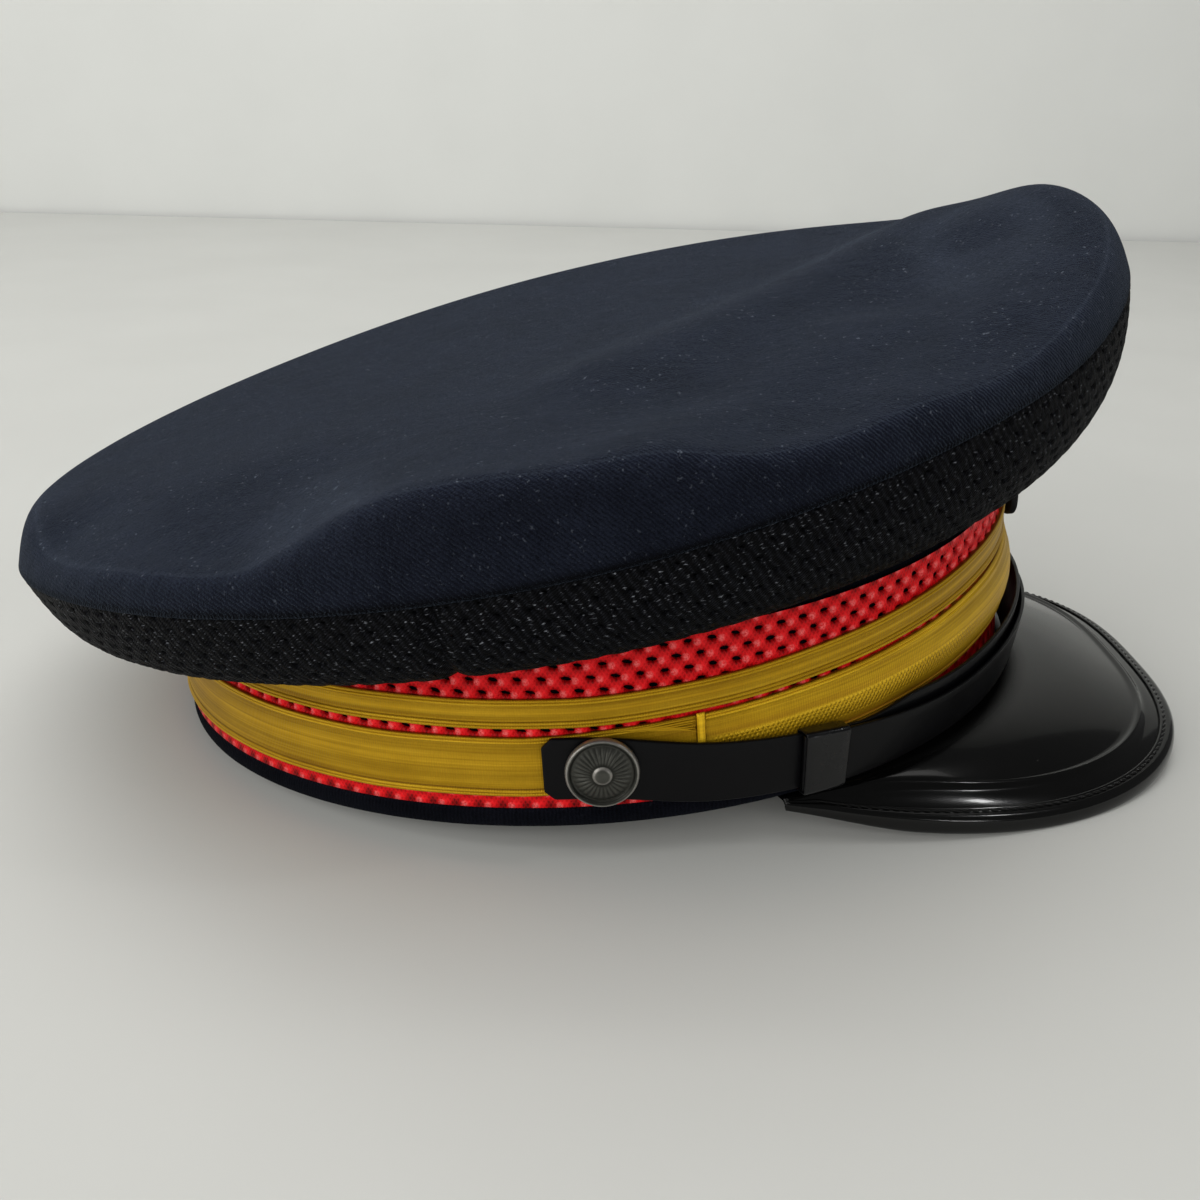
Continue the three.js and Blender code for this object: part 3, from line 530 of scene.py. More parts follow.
def gloss(name, base, rough, grain, coat, specular, specks=0.0, root=False):
    """Smooth leather or vinyl; root makes it dull where the share coordinate is near none."""
    n = Nodes(name)
    cloud = n.noise(n.solid(), 0.035, 5.0, 0.65)
    colour = n.ramp(cloud, (0.3, base), (0.75, tuple(c * 1.6 for c in base)))
    if specks:
        dust = n.fade(n.noise(n.solid(), 0.5, 2.0, 0.8), (0.76, 0), (0.80, 1))
        colour = n.mix(n.times(dust, specks), colour, (0.20, 0.20, 0.19))
    normal = n.bump(n.noise(n.solid(), 1.1, 3.0, 0.6), grain, 0.6)
    roughness = n.math("ADD", n.times(cloud, rough * 0.8), rough * 0.6)
    if root:
        shown = n.fade(n.share(), (0.10, 0), (0.26, 1))
        specular, coat = n.times(shown, specular), n.times(shown, coat)
        roughness = n.math("MAXIMUM", roughness, n.math("SUBTRACT", 0.8, shown))
    return n.set(base=colour, rough=roughness, normal=normal, coat=coat, coat_rough=0.03,
                 specular=specular)


def metal(name):
    """Silver that is dark where its recess value is high."""
    n = Nodes(name)
    scuff = n.noise(n.solid(), 0.9, 6.0, 0.7)
    recess = n.add("Attribute", attribute_name="recess", attribute_type="GEOMETRY").outputs["Fac"]
    dirt = n.blend(recess, 0.85, scuff, 0.25, clamp=True)
    colour = n.ramp(dirt, (0.13, (0.42, 0.40, 0.37)), (0.40, (0.10, 0.10, 0.088)),
                    (0.95, (0.020, 0.020, 0.017)))
    return n.set(base=colour, metal=0.85, rough=n.math("ADD", n.times(scuff, 0.25), 0.22),
                 normal=n.bump(scuff, 0.03, 0.5))


CLOTH = twill("navy_twill", (0.0026, 0.0034, 0.0072), (0.0118, 0.0148, 0.0268), 0.9, 0.105)
BAND_CLOTH = twill("band_cloth", (0.0016, 0.0018, 0.0036), (0.0050, 0.0056, 0.0100), 0.06, 0.01)
BLACK_MESH = knit("black_mesh")
# Tones from each hole's painted rim shade to its knot, then the colour and share of the painted highlight
# beside each hole.
RED_MESH = mesh_cloth("red_mesh", ((0.10, 0.0008, 0.0014), (0.56, 0.0045, 0.0070),
                                   (0.80, 0.014, 0.018)), (0.95, 0.30, 0.29, 0.42))
GOLD = braid("gold_braid", False,
             ((0.31, 0.162, 0.0042), (0.45, 0.258, 0.0080), (0.58, 0.352, 0.0170)))
GOLD_FRONT = braid("gold_braid_front", True,
                   ((0.41, 0.225, 0.0060), (0.60, 0.360, 0.0120), (0.78, 0.500, 0.026)))
GOLD_BAR = braid("gold_bar", False,
                 ((0.62, 0.360, 0.0120), (0.74, 0.450, 0.0160), (0.86, 0.560, 0.0240)))
PEAK_GLOSS = gloss("peak_gloss", (0.0012, 0.0012, 0.0012), 0.12, 0.004, 0.12, 0.20, 0.25, True)
BINDING_GLOSS = gloss("binding_gloss", (0.0014, 0.0014, 0.0014), 0.12, 0.004, 0.15, 0.22, 0.25)
VINYL = gloss("strap_vinyl", (0.0014, 0.0014, 0.0018), 0.38, 0.02, 0.03, 0.12, 0.1)
KEEPER_VINYL = gloss("keeper_vinyl", (0.0016, 0.0016, 0.0020), 0.30, 0.012, 0.2, 0.25, 0.1)
PAD = gloss("pad_vinyl", (0.004, 0.004, 0.0045), 0.5, 0.05, 0.0, 0.15)
SILVER = metal("worn_silver")


# Crown

# Folds of the top, as lines in shares of the crown's half length ahead and half width to the
# right: ahead, right, to ahead, to right, rise and breadth.
FOLDS = [
    (0.72, -0.3, 0.1, 0.34, 0.045, 0.09), (0.5, 0.38, 0.17, 0.86, 0.055, 0.09),
    (0.7, 0.12, 0.3, 0.6, -0.05, 0.11), (0.62, 0.8, 0.34, 0.92, -0.14, 0.25),
    (0.69, 0.5, 0.5, 0.76, 0.03, 0.07), (-0.42, 0.95, -0.4, 0.62, -0.045, 0.12),
    (-0.8, 0.6, -0.42, 0.9, -0.1, 0.13),
]


def segment_distance(px, py, ax, ay, bx, by):
    dx, dy = bx - ax, by - ay
    t = np.clip(((px - ax) * dx + (py - ay) * dy) / (dx * dx + dy * dy), 0, 1)
    return np.hypot(px - ax - t * dx, py - ay - t * dy)


def top_height(ahead, right):
    """The top's sheet: a slope with a hump at the front, and its folds."""
    share = 0.542 + 0.32 * ahead - 0.026 * ahead**2 + 0.073 * right**2
    share = share + 0.188 * np.exp(-(((ahead - 0.895) / 0.17) ** 2 + (right / 0.25) ** 2) / 2)
    for a0, r0, a1, r1, rise, breadth in FOLDS:
        off = segment_distance(ahead * CROWN_LENGTH, right * CROWN_WIDTH, a0 * CROWN_LENGTH,
                               r0 * CROWN_WIDTH, a1 * CROWN_LENGTH, r1 * CROWN_WIDTH)
        share = share + rise * np.exp(-((off / (breadth * CROWN_WIDTH)) ** 2) / 2)
    return BAND_HEIGHT + CROWN_RISE * share


def seam_point(turn, drop=0.0):
    height = BAND_HEIGHT + CROWN_RISE * read("seam", turn) - drop
    return ring_point(CROWN_LENGTH, CROWN_WIDTH, turn, height, CROWN_SHIFT)


def crown_point(turn, reach):
    """The crown at a share of the way out: its sheet, rounded over the rim down to the seam."""
    edge = seam_point(turn)
    middle = np.array([0, CROWN_SHIFT, 0.0])
    point = middle + (edge - middle) * reach[..., None]
    inward = np.hypot(edge[..., 0], edge[..., 1] - CROWN_SHIFT) * (1 - reach)
    sheet = top_height(-(point[..., 1] - CROWN_SHIFT) / CROWN_LENGTH, -point[..., 0] / CROWN_WIDTH)
    climb = (edge[..., 2] + inward * read("climb", turn)
             + RIM_SHOULDER * (1 - np.exp(-inward / RIM_REACH)))
    lower = np.minimum(sheet, climb)
    blend = np.exp((lower - sheet) / RIM_ROUNDING) + np.exp((lower - climb) / RIM_ROUNDING)
    height = lower - RIM_ROUNDING * np.log(blend)
    point[..., 2] = np.where(reach >= 1, edge[..., 2], height)
    return point


def upward_normals(points):
    """Unit normals of a grid that wraps, turned upwards."""
    across = np.roll(points, -1, 1) - np.roll(points, 1, 1)
    up = unit(np.cross(np.gradient(points, axis=0), across))
    return up * np.sign(up[..., 2:3] + (up[..., 2:3] == 0))


def make_crown():
    cols, rows = 360, 104
    turns, reach = np.meshgrid(np.arange(cols) * 360 / cols, 1 - (1 - np.linspace(0.012, 1, rows)) ** 1.35)
    outer = crown_point(turns, reach)
    along, across = -outer[..., 1], outer[..., 2] + outer[..., 0] * 0.8
    lean = math.radians(45)
    # Painted shadow: a share that is high near the seam darkens the cloth there.
    painted_seam_shade = np.exp(-((np.linalg.norm(outer - outer[-1:], axis=-1) / 0.9) ** 2))
    shell = Shell()
    shell.grid(outer, stacked(along * math.sin(lean) + across * math.cos(lean),
                              along * math.cos(lean) - across * math.sin(lean), painted_seam_shade), wraps=True)
    # The rolled lower edge, with a share of 1 that paints it in full seam shadow, then the inner skin.
    roll = np.array([outer[-1] + across_of(turns[-1]) * out + np.array([0, 0, z]) for out, z in
                     ((0, 0), (0.10, -0.35), (-0.05, -0.75), (-0.5, -0.95), (-1.0, -0.8), (-1.4, -0.3))])
    arc = np.radians(turns[-1]) * (CROWN_LENGTH + CROWN_WIDTH) / 2
    shell.grid(roll, stacked(arc, np.linspace(0, 3, len(roll))[:, None], 1.0), wraps=True)
    inner = outer[::-1][1:] - upward_normals(outer)[::-1][1:] * CROWN_THICKNESS
    under = np.concatenate([roll[-1:], inner[::3]], 0)
    shell.grid(under, under[..., :2], wraps=True)
    for ring, flip in ((outer[0], False), (under[-1], True)):
        fan = np.stack([ring, np.broadcast_to(ring.mean(0), ring.shape)])
        shell.grid(fan, fan[..., :2], wraps=True, flip=flip)
    return outward(shell.build("crown_cloth", CLOTH, ["crown_top"]))


# Woven mesh

# Each cell of the mesh has this many edges along and up.
CELL_H, CELL_V = 6, 2


def cell_border(s0, s1, t0, t1):
    h = np.linspace(0, 1, CELL_H + 1)
    v = np.linspace(0, 1, CELL_V + 1)
    u = np.concatenate([h[:-1], np.ones(CELL_V), h[:0:-1], np.zeros(CELL_V)])
    w = np.concatenate([np.zeros(CELL_H), v[:-1], np.ones(CELL_H), v[:0:-1]])
    return np.stack([s0 + (s1 - s0) * u, t0 + (t1 - t0) * w], -1)


def strand_height(s, t, pitch, row, lift):
    """Low in the middle of a hole and high on the knots round it."""
    return -lift * np.cos(2 * math.pi * s / pitch) * np.cos(math.pi * t / row)


def lattice(shell, place, length, rows, pitch, hole, lift, depth, wraps, offset, top=None):
    """Cells with a hole in their middle, in staggered rows. rows is a list of (low, high, odd,
    share of the full hole); place maps (s, t, rise) arrays to points; offset is the height of
    the first row's middle; top gives the cloth's end at s."""
    count = int(round(length / pitch))

    def cell_coords(s, t):
        return stacked(s * PITCH / pitch, t - offset, 0.0 if top is None else t / top(s))

    for low, high, odd, open_share in rows:
        starts = [(i + 0.5 * odd) * pitch for i in range(count - (odd and not wraps))]
        cells = [(a, a + pitch, True) for a in starts]
        if odd and not wraps:
            cells = [(0, pitch / 2, False)] + cells + [(length - pitch / 2, length, False)]
        for s0, s1, full in cells:
            if top is not None and low >= float(np.max(top(np.array([s0, (s0 + s1) / 2, s1])))):
                continue
            border = cell_border(s0, s1, low, high)
            if not (open_share and full):
                grid_s = np.linspace(s0, s1, (CELL_H if full else CELL_H // 2) + 1)
                grid_t = np.linspace(low, high, CELL_V + 1)
                S, T = np.meshgrid(grid_s, grid_t)
                if top is not None:
                    T = np.minimum(T, top(S))
                rise = strand_height(S - odd * pitch / 2, T - (low + high) / 2, pitch, high - low,
                                     0.25 * lift)
                shell.grid(place(S, T, rise), cell_coords(S, T))
                continue
            centre = np.array([(s0 + s1) / 2, (low + high) / 2])
            off = border - centre
            grow = rng.uniform(0.85, 1.12, 2) * open_share
            angle = np.arctan2(off[:, 1] / (high - low), off[:, 0] / pitch)
            lean = 0.16 + rng.normal(0, 0.06)
            oval = stacked(np.cos(angle) * hole[0] * grow[0],
                           np.sin(angle) * hole[1] * grow[1] + np.cos(angle) * hole[0] * lean)
            oval[:, 1] *= (high - low) / ROW
            edge = centre + oval
            middle = centre + oval * 0.45 + off * 0.5
            sink = centre + oval * 0.86
            rings = []
            for ring, proud in ((border, 0), (middle, 0.12), (edge, -0.15), (sink, -depth)):
                s, t = ring[:, 0], ring[:, 1]
                if top is not None:
                    t = np.minimum(t, top(s))
                rise = strand_height(s - centre[0], t - centre[1], pitch, high - low, lift)
                rings.append((s, t, rise + proud))
            S, T, H = (np.array(x) for x in zip(*rings))
            shell.grid(place(S, T, H), cell_coords(S, T), wraps=True)


def arc_table(curve):
    """Turn by arc length along a ring curve given as a function of turn."""
    turns = np.linspace(0, 360, 1441)
    return turns, running(curve(turns))


def make_red_mesh():
    """The red mesh round the band: holes above the gold's lower edge, a plain edge under it."""
    turns, length = arc_table(lambda t: band_point(t, MESH_OUT, 30.0))
    total = length[-1]
    pitch = total / round(total / PITCH)

    def place(s, t, rise):
        turn = np.interp(np.mod(s, total), length, turns)
        facing = np.maximum(0, np.cos(np.radians(turn)))
        flare = 1.1 * facing**2 * (1 - smoothstep(6, 16, t)) * smoothstep(HEM_HEIGHT, 7, t)
        return band_point(turn, MESH_OUT + rise + flare, t)

    rows = []
    low, high = HEM_HEIGHT + GAP, BAND_HEIGHT - 2 * GAP
    for k, centre in enumerate(np.arange(FIRST_RED_ROW, 41, ROW)):
        rows.append((max(low, centre - ROW / 2), centre + ROW / 2, k % 2, float(centre > 20)))
    shell = Shell()
    lattice(shell, place, total, rows, pitch, (1.15, 0.52), 0.26, 0.55, True, FIRST_RED_ROW)
    # The plain selvage under the knit, and the lower edge.
    row_low, row_high, odd, _ = rows[-1]
    s = np.arange(int(round(total / pitch)) * CELL_H) * pitch / CELL_H
    wavy = strand_height(s - (0.5 + 0.5 * odd) * pitch, row_high - (row_low + row_high) / 2, pitch, ROW,
                         0.22)
    flat = 0 * s
    for levels, outs in (((row_high, high), (wavy, flat)), ((low - 0.1, low), (flat - 0.9, flat))):
        S, T = np.meshgrid(s, levels)
        coords = stacked(S * PITCH / pitch, T - FIRST_RED_ROW)
        last = coords[:, :1] + np.array([total, 0])
        shell.grid(place(S, T, np.array(outs)), np.concatenate([coords, last], 1), wraps=True)
    return shell.build("red_mesh_cloth", RED_MESH, ["band_mesh"])


def side_point(turn, share):
    """A point of the knitted side, which pouches between the band's top and the seam."""
    start = band_point(turn, -SIDE_INSET, BAND_HEIGHT) + np.array([0, 0, GAP])
    end = seam_point(turn, GAP)
    line = end - start
    across = np.hypot(line[..., 0], line[..., 1])
    length = np.linalg.norm(line, axis=-1)
    sag = SIDE_POUCH * read("sag", turn) * np.sin(math.pi * share**SIDE_SKEW)
    point = start + line * share[..., None]
    point = point + across_of(turn) * (sag * line[..., 2] / length)[..., None]
    point[..., 2] -= sag * across / length
    return point


def make_side(name, node, start, stop):
    """The knitted side between two turns, drawn as an open mesh with a plain back."""
    dense = np.linspace(start, stop, 361)
    length = running(side_point(dense, np.full(361, 0.3)))
    total = length[-1]
    pitch = total / round(total / PITCH)
    shares = np.linspace(0, 1, 41)
    TT, SS = np.meshgrid(dense, shares, indexing="ij")
    profile = side_point(TT, SS)
    drop = np.concatenate([np.zeros((361, 1)),
                           np.cumsum(np.linalg.norm(np.diff(profile, axis=1), axis=2), 1)], 1)

    def top(s):
        return np.interp(s, length, drop[:, -1])

    def share_at(s, t):
        column = np.interp(s, length, np.arange(361.0))
        left = np.clip(column.astype(int), 0, 359)
        part = column - left
        flat_t, flat_l = t.ravel(), left.ravel()
        found = np.empty((2, flat_t.size))
        for k in np.unique(flat_l):
            here = flat_l == k
            for side in (0, 1):
                found[side, here] = np.interp(flat_t[here], drop[k + side], shares)
        found = found.reshape(2, *t.shape)
        return found[0] * (1 - part) + found[1] * part

    def place(s, t, rise):
        s, t, rise = np.broadcast_arrays(s, t, rise)
        turn = np.interp(s, length, dense)
        share = share_at(s, t)
        upwards = unit(side_point(turn, np.minimum(1, share + 0.01))
                       - side_point(turn, np.maximum(0, share - 0.01)))
        way = unit(side_point(turn + 0.5, share) - side_point(turn - 0.5, share))
        normal = unit(np.cross(upwards, way))
        normal = normal * np.sign(np.sum(normal * across_of(turn), -1, keepdims=True) + 1e-9)
        edge = np.minimum(s, total - s)
        rise = rise - 1.4 * np.exp(-((edge / 1.3) ** 2)) - 0.5 * np.exp(-(((top(s) - t) / 0.6) ** 2))
        return side_point(turn, share) + normal * rise[..., None]

    tallest = drop[:, -1].max()
    rows, low, k = [], 0.0, 0
    while low < tallest:
        rows.append((low, low + ROW, k % 2, 1.0 - 0.5 * min(1, low / 30)))
        low, k = low + ROW, k + 1
    shell = Shell()
    lattice(shell, place, total, rows, pitch, (0.80, 0.36), 0.20, 0.8, False, ROW / 2, top)
    S, U = np.meshgrid(np.linspace(0, total, 181), np.linspace(0, 1, 15))
    shell.grid(place(S, U * top(S), -0.95), (0, 0), flip=True)
    return shell.build(name, BLACK_MESH, [node])


# Band and braids

def sweep_piece(name, turns, section, coords, material, nodes, wraps=False, more=None):
    """A closed section of points carried along the turns. coords is the length along, the run
    across and the share across, or the first two; more adds parts of its own."""
    points = np.stack([section(turn) for turn in turns], 1)
    closed = np.concatenate([points, points[:1]], 0)
    u, v, share = (*coords, np.zeros(len(points))) if len(coords) == 2 else coords
    coords = stacked(u, np.append(v, v[-1] + 1)[:, None], np.append(share, share[-1])[:, None])
    shell = Shell()
    if wraps:
        shell.grid(closed[:, :-1], coords, wraps=True)
    else:
        shell.grid(closed, coords)
        for end in (0, -1):
            shell.cap(points[:, end])
    if more:
        more(shell)
    return outward(shell.build(name, material, nodes))


def pattern_length(turns):
    return np.radians(turns) * PATTERN_RADIUS


def make_band():
    """The cloth band: a rolled hem under the red mesh, then a plain wall."""
    turns = np.linspace(0, 360, 361)
    hem = []
    for a in np.radians(np.linspace(-90, 90, 11)):
        out = MESH_OUT - MESH_THICKNESS + 1.15 * math.cos(a)
        hem.append((out - 0.1, HEM_HEIGHT / 2 + HEM_HEIGHT / 2 * math.sin(a)))
    section = [(BASE_INNER, 0.3)] + hem + [(BASE_OUT, HEM_HEIGHT + 0.1), (BASE_OUT, 15),
                                           (BASE_OUT, 28), (BASE_OUT, BAND_HEIGHT - 0.4),
                                           (BASE_OUT - 0.4, BAND_HEIGHT),
                                           (BASE_INNER + 0.4, BAND_HEIGHT),
                                           (BASE_INNER, BAND_HEIGHT - 0.4), (BASE_INNER, 28),
                                           (BASE_INNER, 15), (BASE_INNER, 4)]
    outs, levels = np.array(section).T
    return sweep_piece("band_cloth", turns, lambda t: band_point(t, outs, levels),
                       (pattern_length(turns), running(np.array(section))), BAND_CLOTH, ["band_base"],
                       wraps=True)


def swell_at(turn):
    """How far the front length of braid swells out, most at the front."""
    share = np.minimum(1, np.abs(turn) / JOIN_TURN)
    return BRAID_SWELL * np.cos(share * math.pi / 2)


def braid_profile(width, cords):
    """Across the ribbon: cords along each edge, and a smooth low web between them; the tone is
    0 in the grooves and 1 on the cords, and sets painted shade in the grooves and painted light on the
    cords."""
    cord = 0.72 / width
    across, rise, tone = [], [], []

    def cord_at(start, top):
        for a in np.linspace(0, math.pi, 7)[1 if across else 0:]:
            across.append(start + cord / 2 * (1 - math.cos(a)))
            rise.append(top - 0.42 + 0.42 * math.sin(a))
            tone.append(math.sin(a) ** 0.7)

    for k in range(cords):
        cord_at(k * cord, -0.02 - 0.05 * k)
    for share in np.linspace(0, 1, 15)[1:-1]:
        across.append(cords * cord + (1 - 2 * cords * cord) * share)
        rise.append(-0.36 + 0.16 * math.sin(math.pi * share)
                    + 0.022 * math.sin(share * width * 2.9))
        tone.append(0.55 + 0.16 * math.sin(share * 11 + 1.2))
    for k in reversed(range(cords)):
        cord_at(1 - (k + 1) * cord, -0.02 - 0.05 * k)
    return np.array(across), np.array(rise), np.array(tone)


def front_raise(turn):
    """How much nearer the lower braid lies to the upper one ahead of the buttons."""
    return 1.1 * (1 - smoothstep(84, 97, off_front(turn)))


def make_braid(name, start, stop, low, high, count, swell, wraps=False, material=GOLD, more=None):
    """A gold braid between two turns and two levels, carried in a count of steps."""
    across, rise, tone = braid_profile(high - low, 2)
    back = MESH_OUT + 0.05
    turns = np.linspace(start, stop, count + 1)
    wobble = rng.uniform(0, 2 * math.pi, 8)

    def section(turn):
        wave = sum(math.sin(math.radians(turn) * f + wobble[f % 8]) for f in (9, 14, 23)) / 3
        raised = float(front_raise(turn)) if high == LOWER_HIGH else 0.0
        level = low + raised + 0.10 * wave + (high - low) * across
        out = rise + swell(turn) * 1.35 * np.sin(math.pi * across**0.85) ** 0.8
        return trim_point(turn, np.append(out, [back, back]),
                          np.append(level, [level[-1] - 0.1, level[0] + 0.1]))

    v = np.append(across * (high - low), [high - low + 1, high - low + 2])
    coords = (pattern_length(turns), v, np.append(tone, [0.5, 0.5]))
    return sweep_piece(name, turns, section, coords, material, ["gold_" + name], wraps,
                       more)


def thread(shell, turns, outs, levels, radius):
    """A thin thread laid on the band."""
    ring = np.linspace(0, 2 * math.pi, 8, endpoint=False)
    fat = radius * np.sqrt(np.sin(np.linspace(0.12, math.pi - 0.12, len(turns))))[:, None]
    tube = trim_point(turns[:, None], outs[:, None] + fat * np.cos(ring),
                      levels[:, None] + fat * np.sin(ring))
    # A share of 0.8 gives the thread the braid's painted light of a cord.
    shell.grid(tube, (0, 0, 0.8), wraps=True)
    for end in (0, -1):
        shell.cap(tube[end], (0, 0, 0.8))


def frayed_cords(shell):
    """By each join the upper cords of the rear length come apart into threads with a knot."""
    for side in (1, -1):
        along = np.linspace(0, 1, 19)
        for k in range(6):
            reach = 17 - 1.6 * k
            turns = JOIN_TURN + 0.5 + np.degrees(reach * along / HALF_WIDTH)
            spread = (1 - along) ** 1.4
            levels = (LOWER_HIGH + front_raise(turns) - 0.35 - 0.16 * k - 0.40 * k * spread
                      + 0.12 * np.sin(along * 7 + k))
            outs = -0.02 + 0.16 * np.sin(math.pi * along) + 0.05 * (k % 2)
            thread(shell, turns if side > 0 else 360 - turns, outs, levels, 0.20)
        knot = JOIN_TURN + 0.5 + np.degrees(np.linspace(13.2, 14.6, 7) / HALF_WIDTH)
        thread(shell, knot if side > 0 else 360 - knot, np.full(7, 0.05),
               np.full(7, LOWER_HIGH - 2.3), 0.55)


def make_braid_end(label, side):
    """The sewn bar over a join of the lower braid."""
    half = math.degrees(0.75 / HALF_WIDTH)
    high = LOWER_HIGH + 1.05 + float(front_raise(JOIN_TURN)) * 0.6
    low = high - 7.4
    turns = side * JOIN_TURN + np.linspace(-half, half, 9)
    arc = np.linspace(0, math.pi, 9)
    level = low + (high - low) * (1 - np.cos(arc)) / 2

    def section(turn):
        share = (turn - side * JOIN_TURN) / half
        bulge = math.sqrt(max(0.04, 1 - share * share))
        lift = swell_at(turn) * 0.6
        out = lift + 0.2 + (0.75 * bulge) * np.sqrt(np.clip(np.sin(arc), 0.05, 1))
        return trim_point(turn, np.append(out, [lift - 0.3, lift - 0.3]),
                          np.append(level, [level[-1] - 0.2, level[0] + 0.2]))

    v = np.append(level - low, [9, 10])
    # A share of 1 gives the bar the braid's painted light of a cord.
    coords = (pattern_length(turns), v, np.ones(len(v)))
    return sweep_piece(f"braid_bar_{label}", turns, section, coords, GOLD_BAR,
                       [f"braid_end_{label}"])


# Peak

PEAK_LENGTH = HALF_LENGTH + PEAK_REACH - PEAK_CENTRE
CORNER_TURN = math.degrees(math.acos(42 / HALF_LENGTH))
PEAK_CORNER = band_point(CORNER_TURN, MESH_OUT + 1.2, 0.0)
CORNER_FACING = ((-PEAK_CORNER[1] - PEAK_CENTRE) / PEAK_LENGTH) ** (1 / PEAK_POWER)
END_ANGLE = math.degrees(math.acos(CORNER_FACING))
PEAK_WIDTH = -PEAK_CORNER[0] / math.sin(math.radians(END_ANGLE)) ** PEAK_POWER


def peak_oval(angle, half_length, half_width, height):
    a = np.radians(angle)
    ahead = PEAK_CENTRE + half_length * np.cos(a) ** PEAK_POWER
    right = half_width * np.sign(angle) * np.abs(np.sin(a)) ** PEAK_POWER
    return stacked(-right, -ahead, height)


def peak_root(angle, out):
    """Where the peak meets the band, for an angle of the peak's own from the front."""
    point = band_point(angle * CORNER_TURN / END_ANGLE, out, 0.0)
    point[..., 2] -= GAP
    return point


def peak_edge(angle):
    facing = np.cos(np.radians(angle))
    share = ((1 - facing) / (1 - CORNER_FACING)) ** 3
    height = ((PEAK_DROP - PEAK_CORNER_DROP) * share - PEAK_DROP
              - PEAK_CHEEK * np.sin(np.radians(2 * angle)) ** 2)
    return peak_oval(angle, PEAK_LENGTH, PEAK_WIDTH, height)


def peak_bead(angle):
    """The raised line that parts the peak's plate from its rim."""
    facing = np.cos(np.radians(angle)) ** 2
    rise = RIM_RISE * facing + RIM_SIDE_RISE * (1 - facing)
    root, edge = peak_root(angle, MESH_OUT), peak_edge(angle)
    height = np.minimum(edge[..., 2] + rise, root[..., 2] - GAP)
    line = peak_oval(angle, PEAK_LENGTH - RIM_WIDTH, PEAK_WIDTH - RIM_SIDE_WIDTH, height)
    ending = root + (edge - root) * 0.3
    share = smoothstep(END_ANGLE * 0.75, END_ANGLE, np.abs(angle))[..., None]
    return line * (1 - share) + ending * share


def peak_angles(count):
    """Angles that crowd towards the peak's corners."""
    s = np.linspace(-1, 1, count)
    return END_ANGLE * (0.55 * s + 0.45 * np.sin(s * math.pi / 2))


def binding_scale(angle):
    """Narrows the bead and the binding where the rim runs out at the corners."""
    rim = np.linalg.norm(peak_edge(angle) - peak_bead(angle), axis=-1)
    return np.minimum(1, rim / (BINDING_WIDTH * 1.4))


def corner_thinning(angle):
    """The peak thins towards its corners, where it slips under the strap."""
    return 1 - 0.6 * smoothstep(0.86 * END_ANGLE, END_ANGLE, np.abs(angle))


def make_peak():
    """The plate from the band to the bead, the rim from there to the edge, and the underside."""
    angles = peak_angles(181)
    root, bead, edge = peak_root(angles, MESH_OUT), peak_bead(angles), peak_edge(angles)
    run, rim = np.linalg.norm(bead - root, axis=-1), np.linalg.norm(edge - bead, axis=-1)
    bow = PEAK_BOW * (1 - np.abs(angles) / END_ANGLE)
    scale = binding_scale(angles)

    def bead_rise(off):
        return BEAD_HEIGHT * scale * np.exp(-((off / (BEAD_WIDTH * 0.42)) ** 2))

    rows, v = [peak_root(angles, BASE_INNER + 1.0)], [-3.0]
    for share in np.concatenate([np.linspace(0, 0.9, 22), np.linspace(0.92, 1, 9)]):
        p = root + (bead - root) * share
        p[:, 2] += bow * np.sin(math.pi * share)
        p[:, 2] += bead_rise((1 - share) * run)
        rows.append(p)
        v.append(40 * share)
    stop = 1 - (BINDING_THICKNESS * 0.5 * scale) / rim
    for share in np.linspace(0, 1, 15)[1:]:
        p = bead + (edge - bead) * (share * stop)[:, None]
        p[:, 2] += bead_rise(share * stop * rim)
        p[:, 2] += 0.45 * scale * np.sin(math.pi * share)
        rows.append(p)
        v.append(40 + 9 * share)
    top = np.array(rows)
    below = top - np.array([0, 0, PEAK_THICKNESS]) * corner_thinning(angles)[None, :, None]
    under = below[::-1][::2]
    v = np.array(v + list(np.linspace(60, 110, len(under))))
    v = np.append(v, v[-1] + 1)[:, None]
    shell = Shell()
    shell.grid(np.concatenate([top, under, top[:1]]), stacked(angles * 1.6, v, v / 40))
    for end in (0, -1):
        shell.grid(np.stack([top[:, end], below[:, end]]), (0, 0))
    return outward(shell.build("peak_plate", PEAK_GLOSS, ["peak"]))


def binding_frame(angle):
    """Edge point, outward direction and scale of the binding."""
    edge = peak_edge(angle)
    out = unit(edge - peak_bead(angle))
    return edge, out, binding_scale(angle)


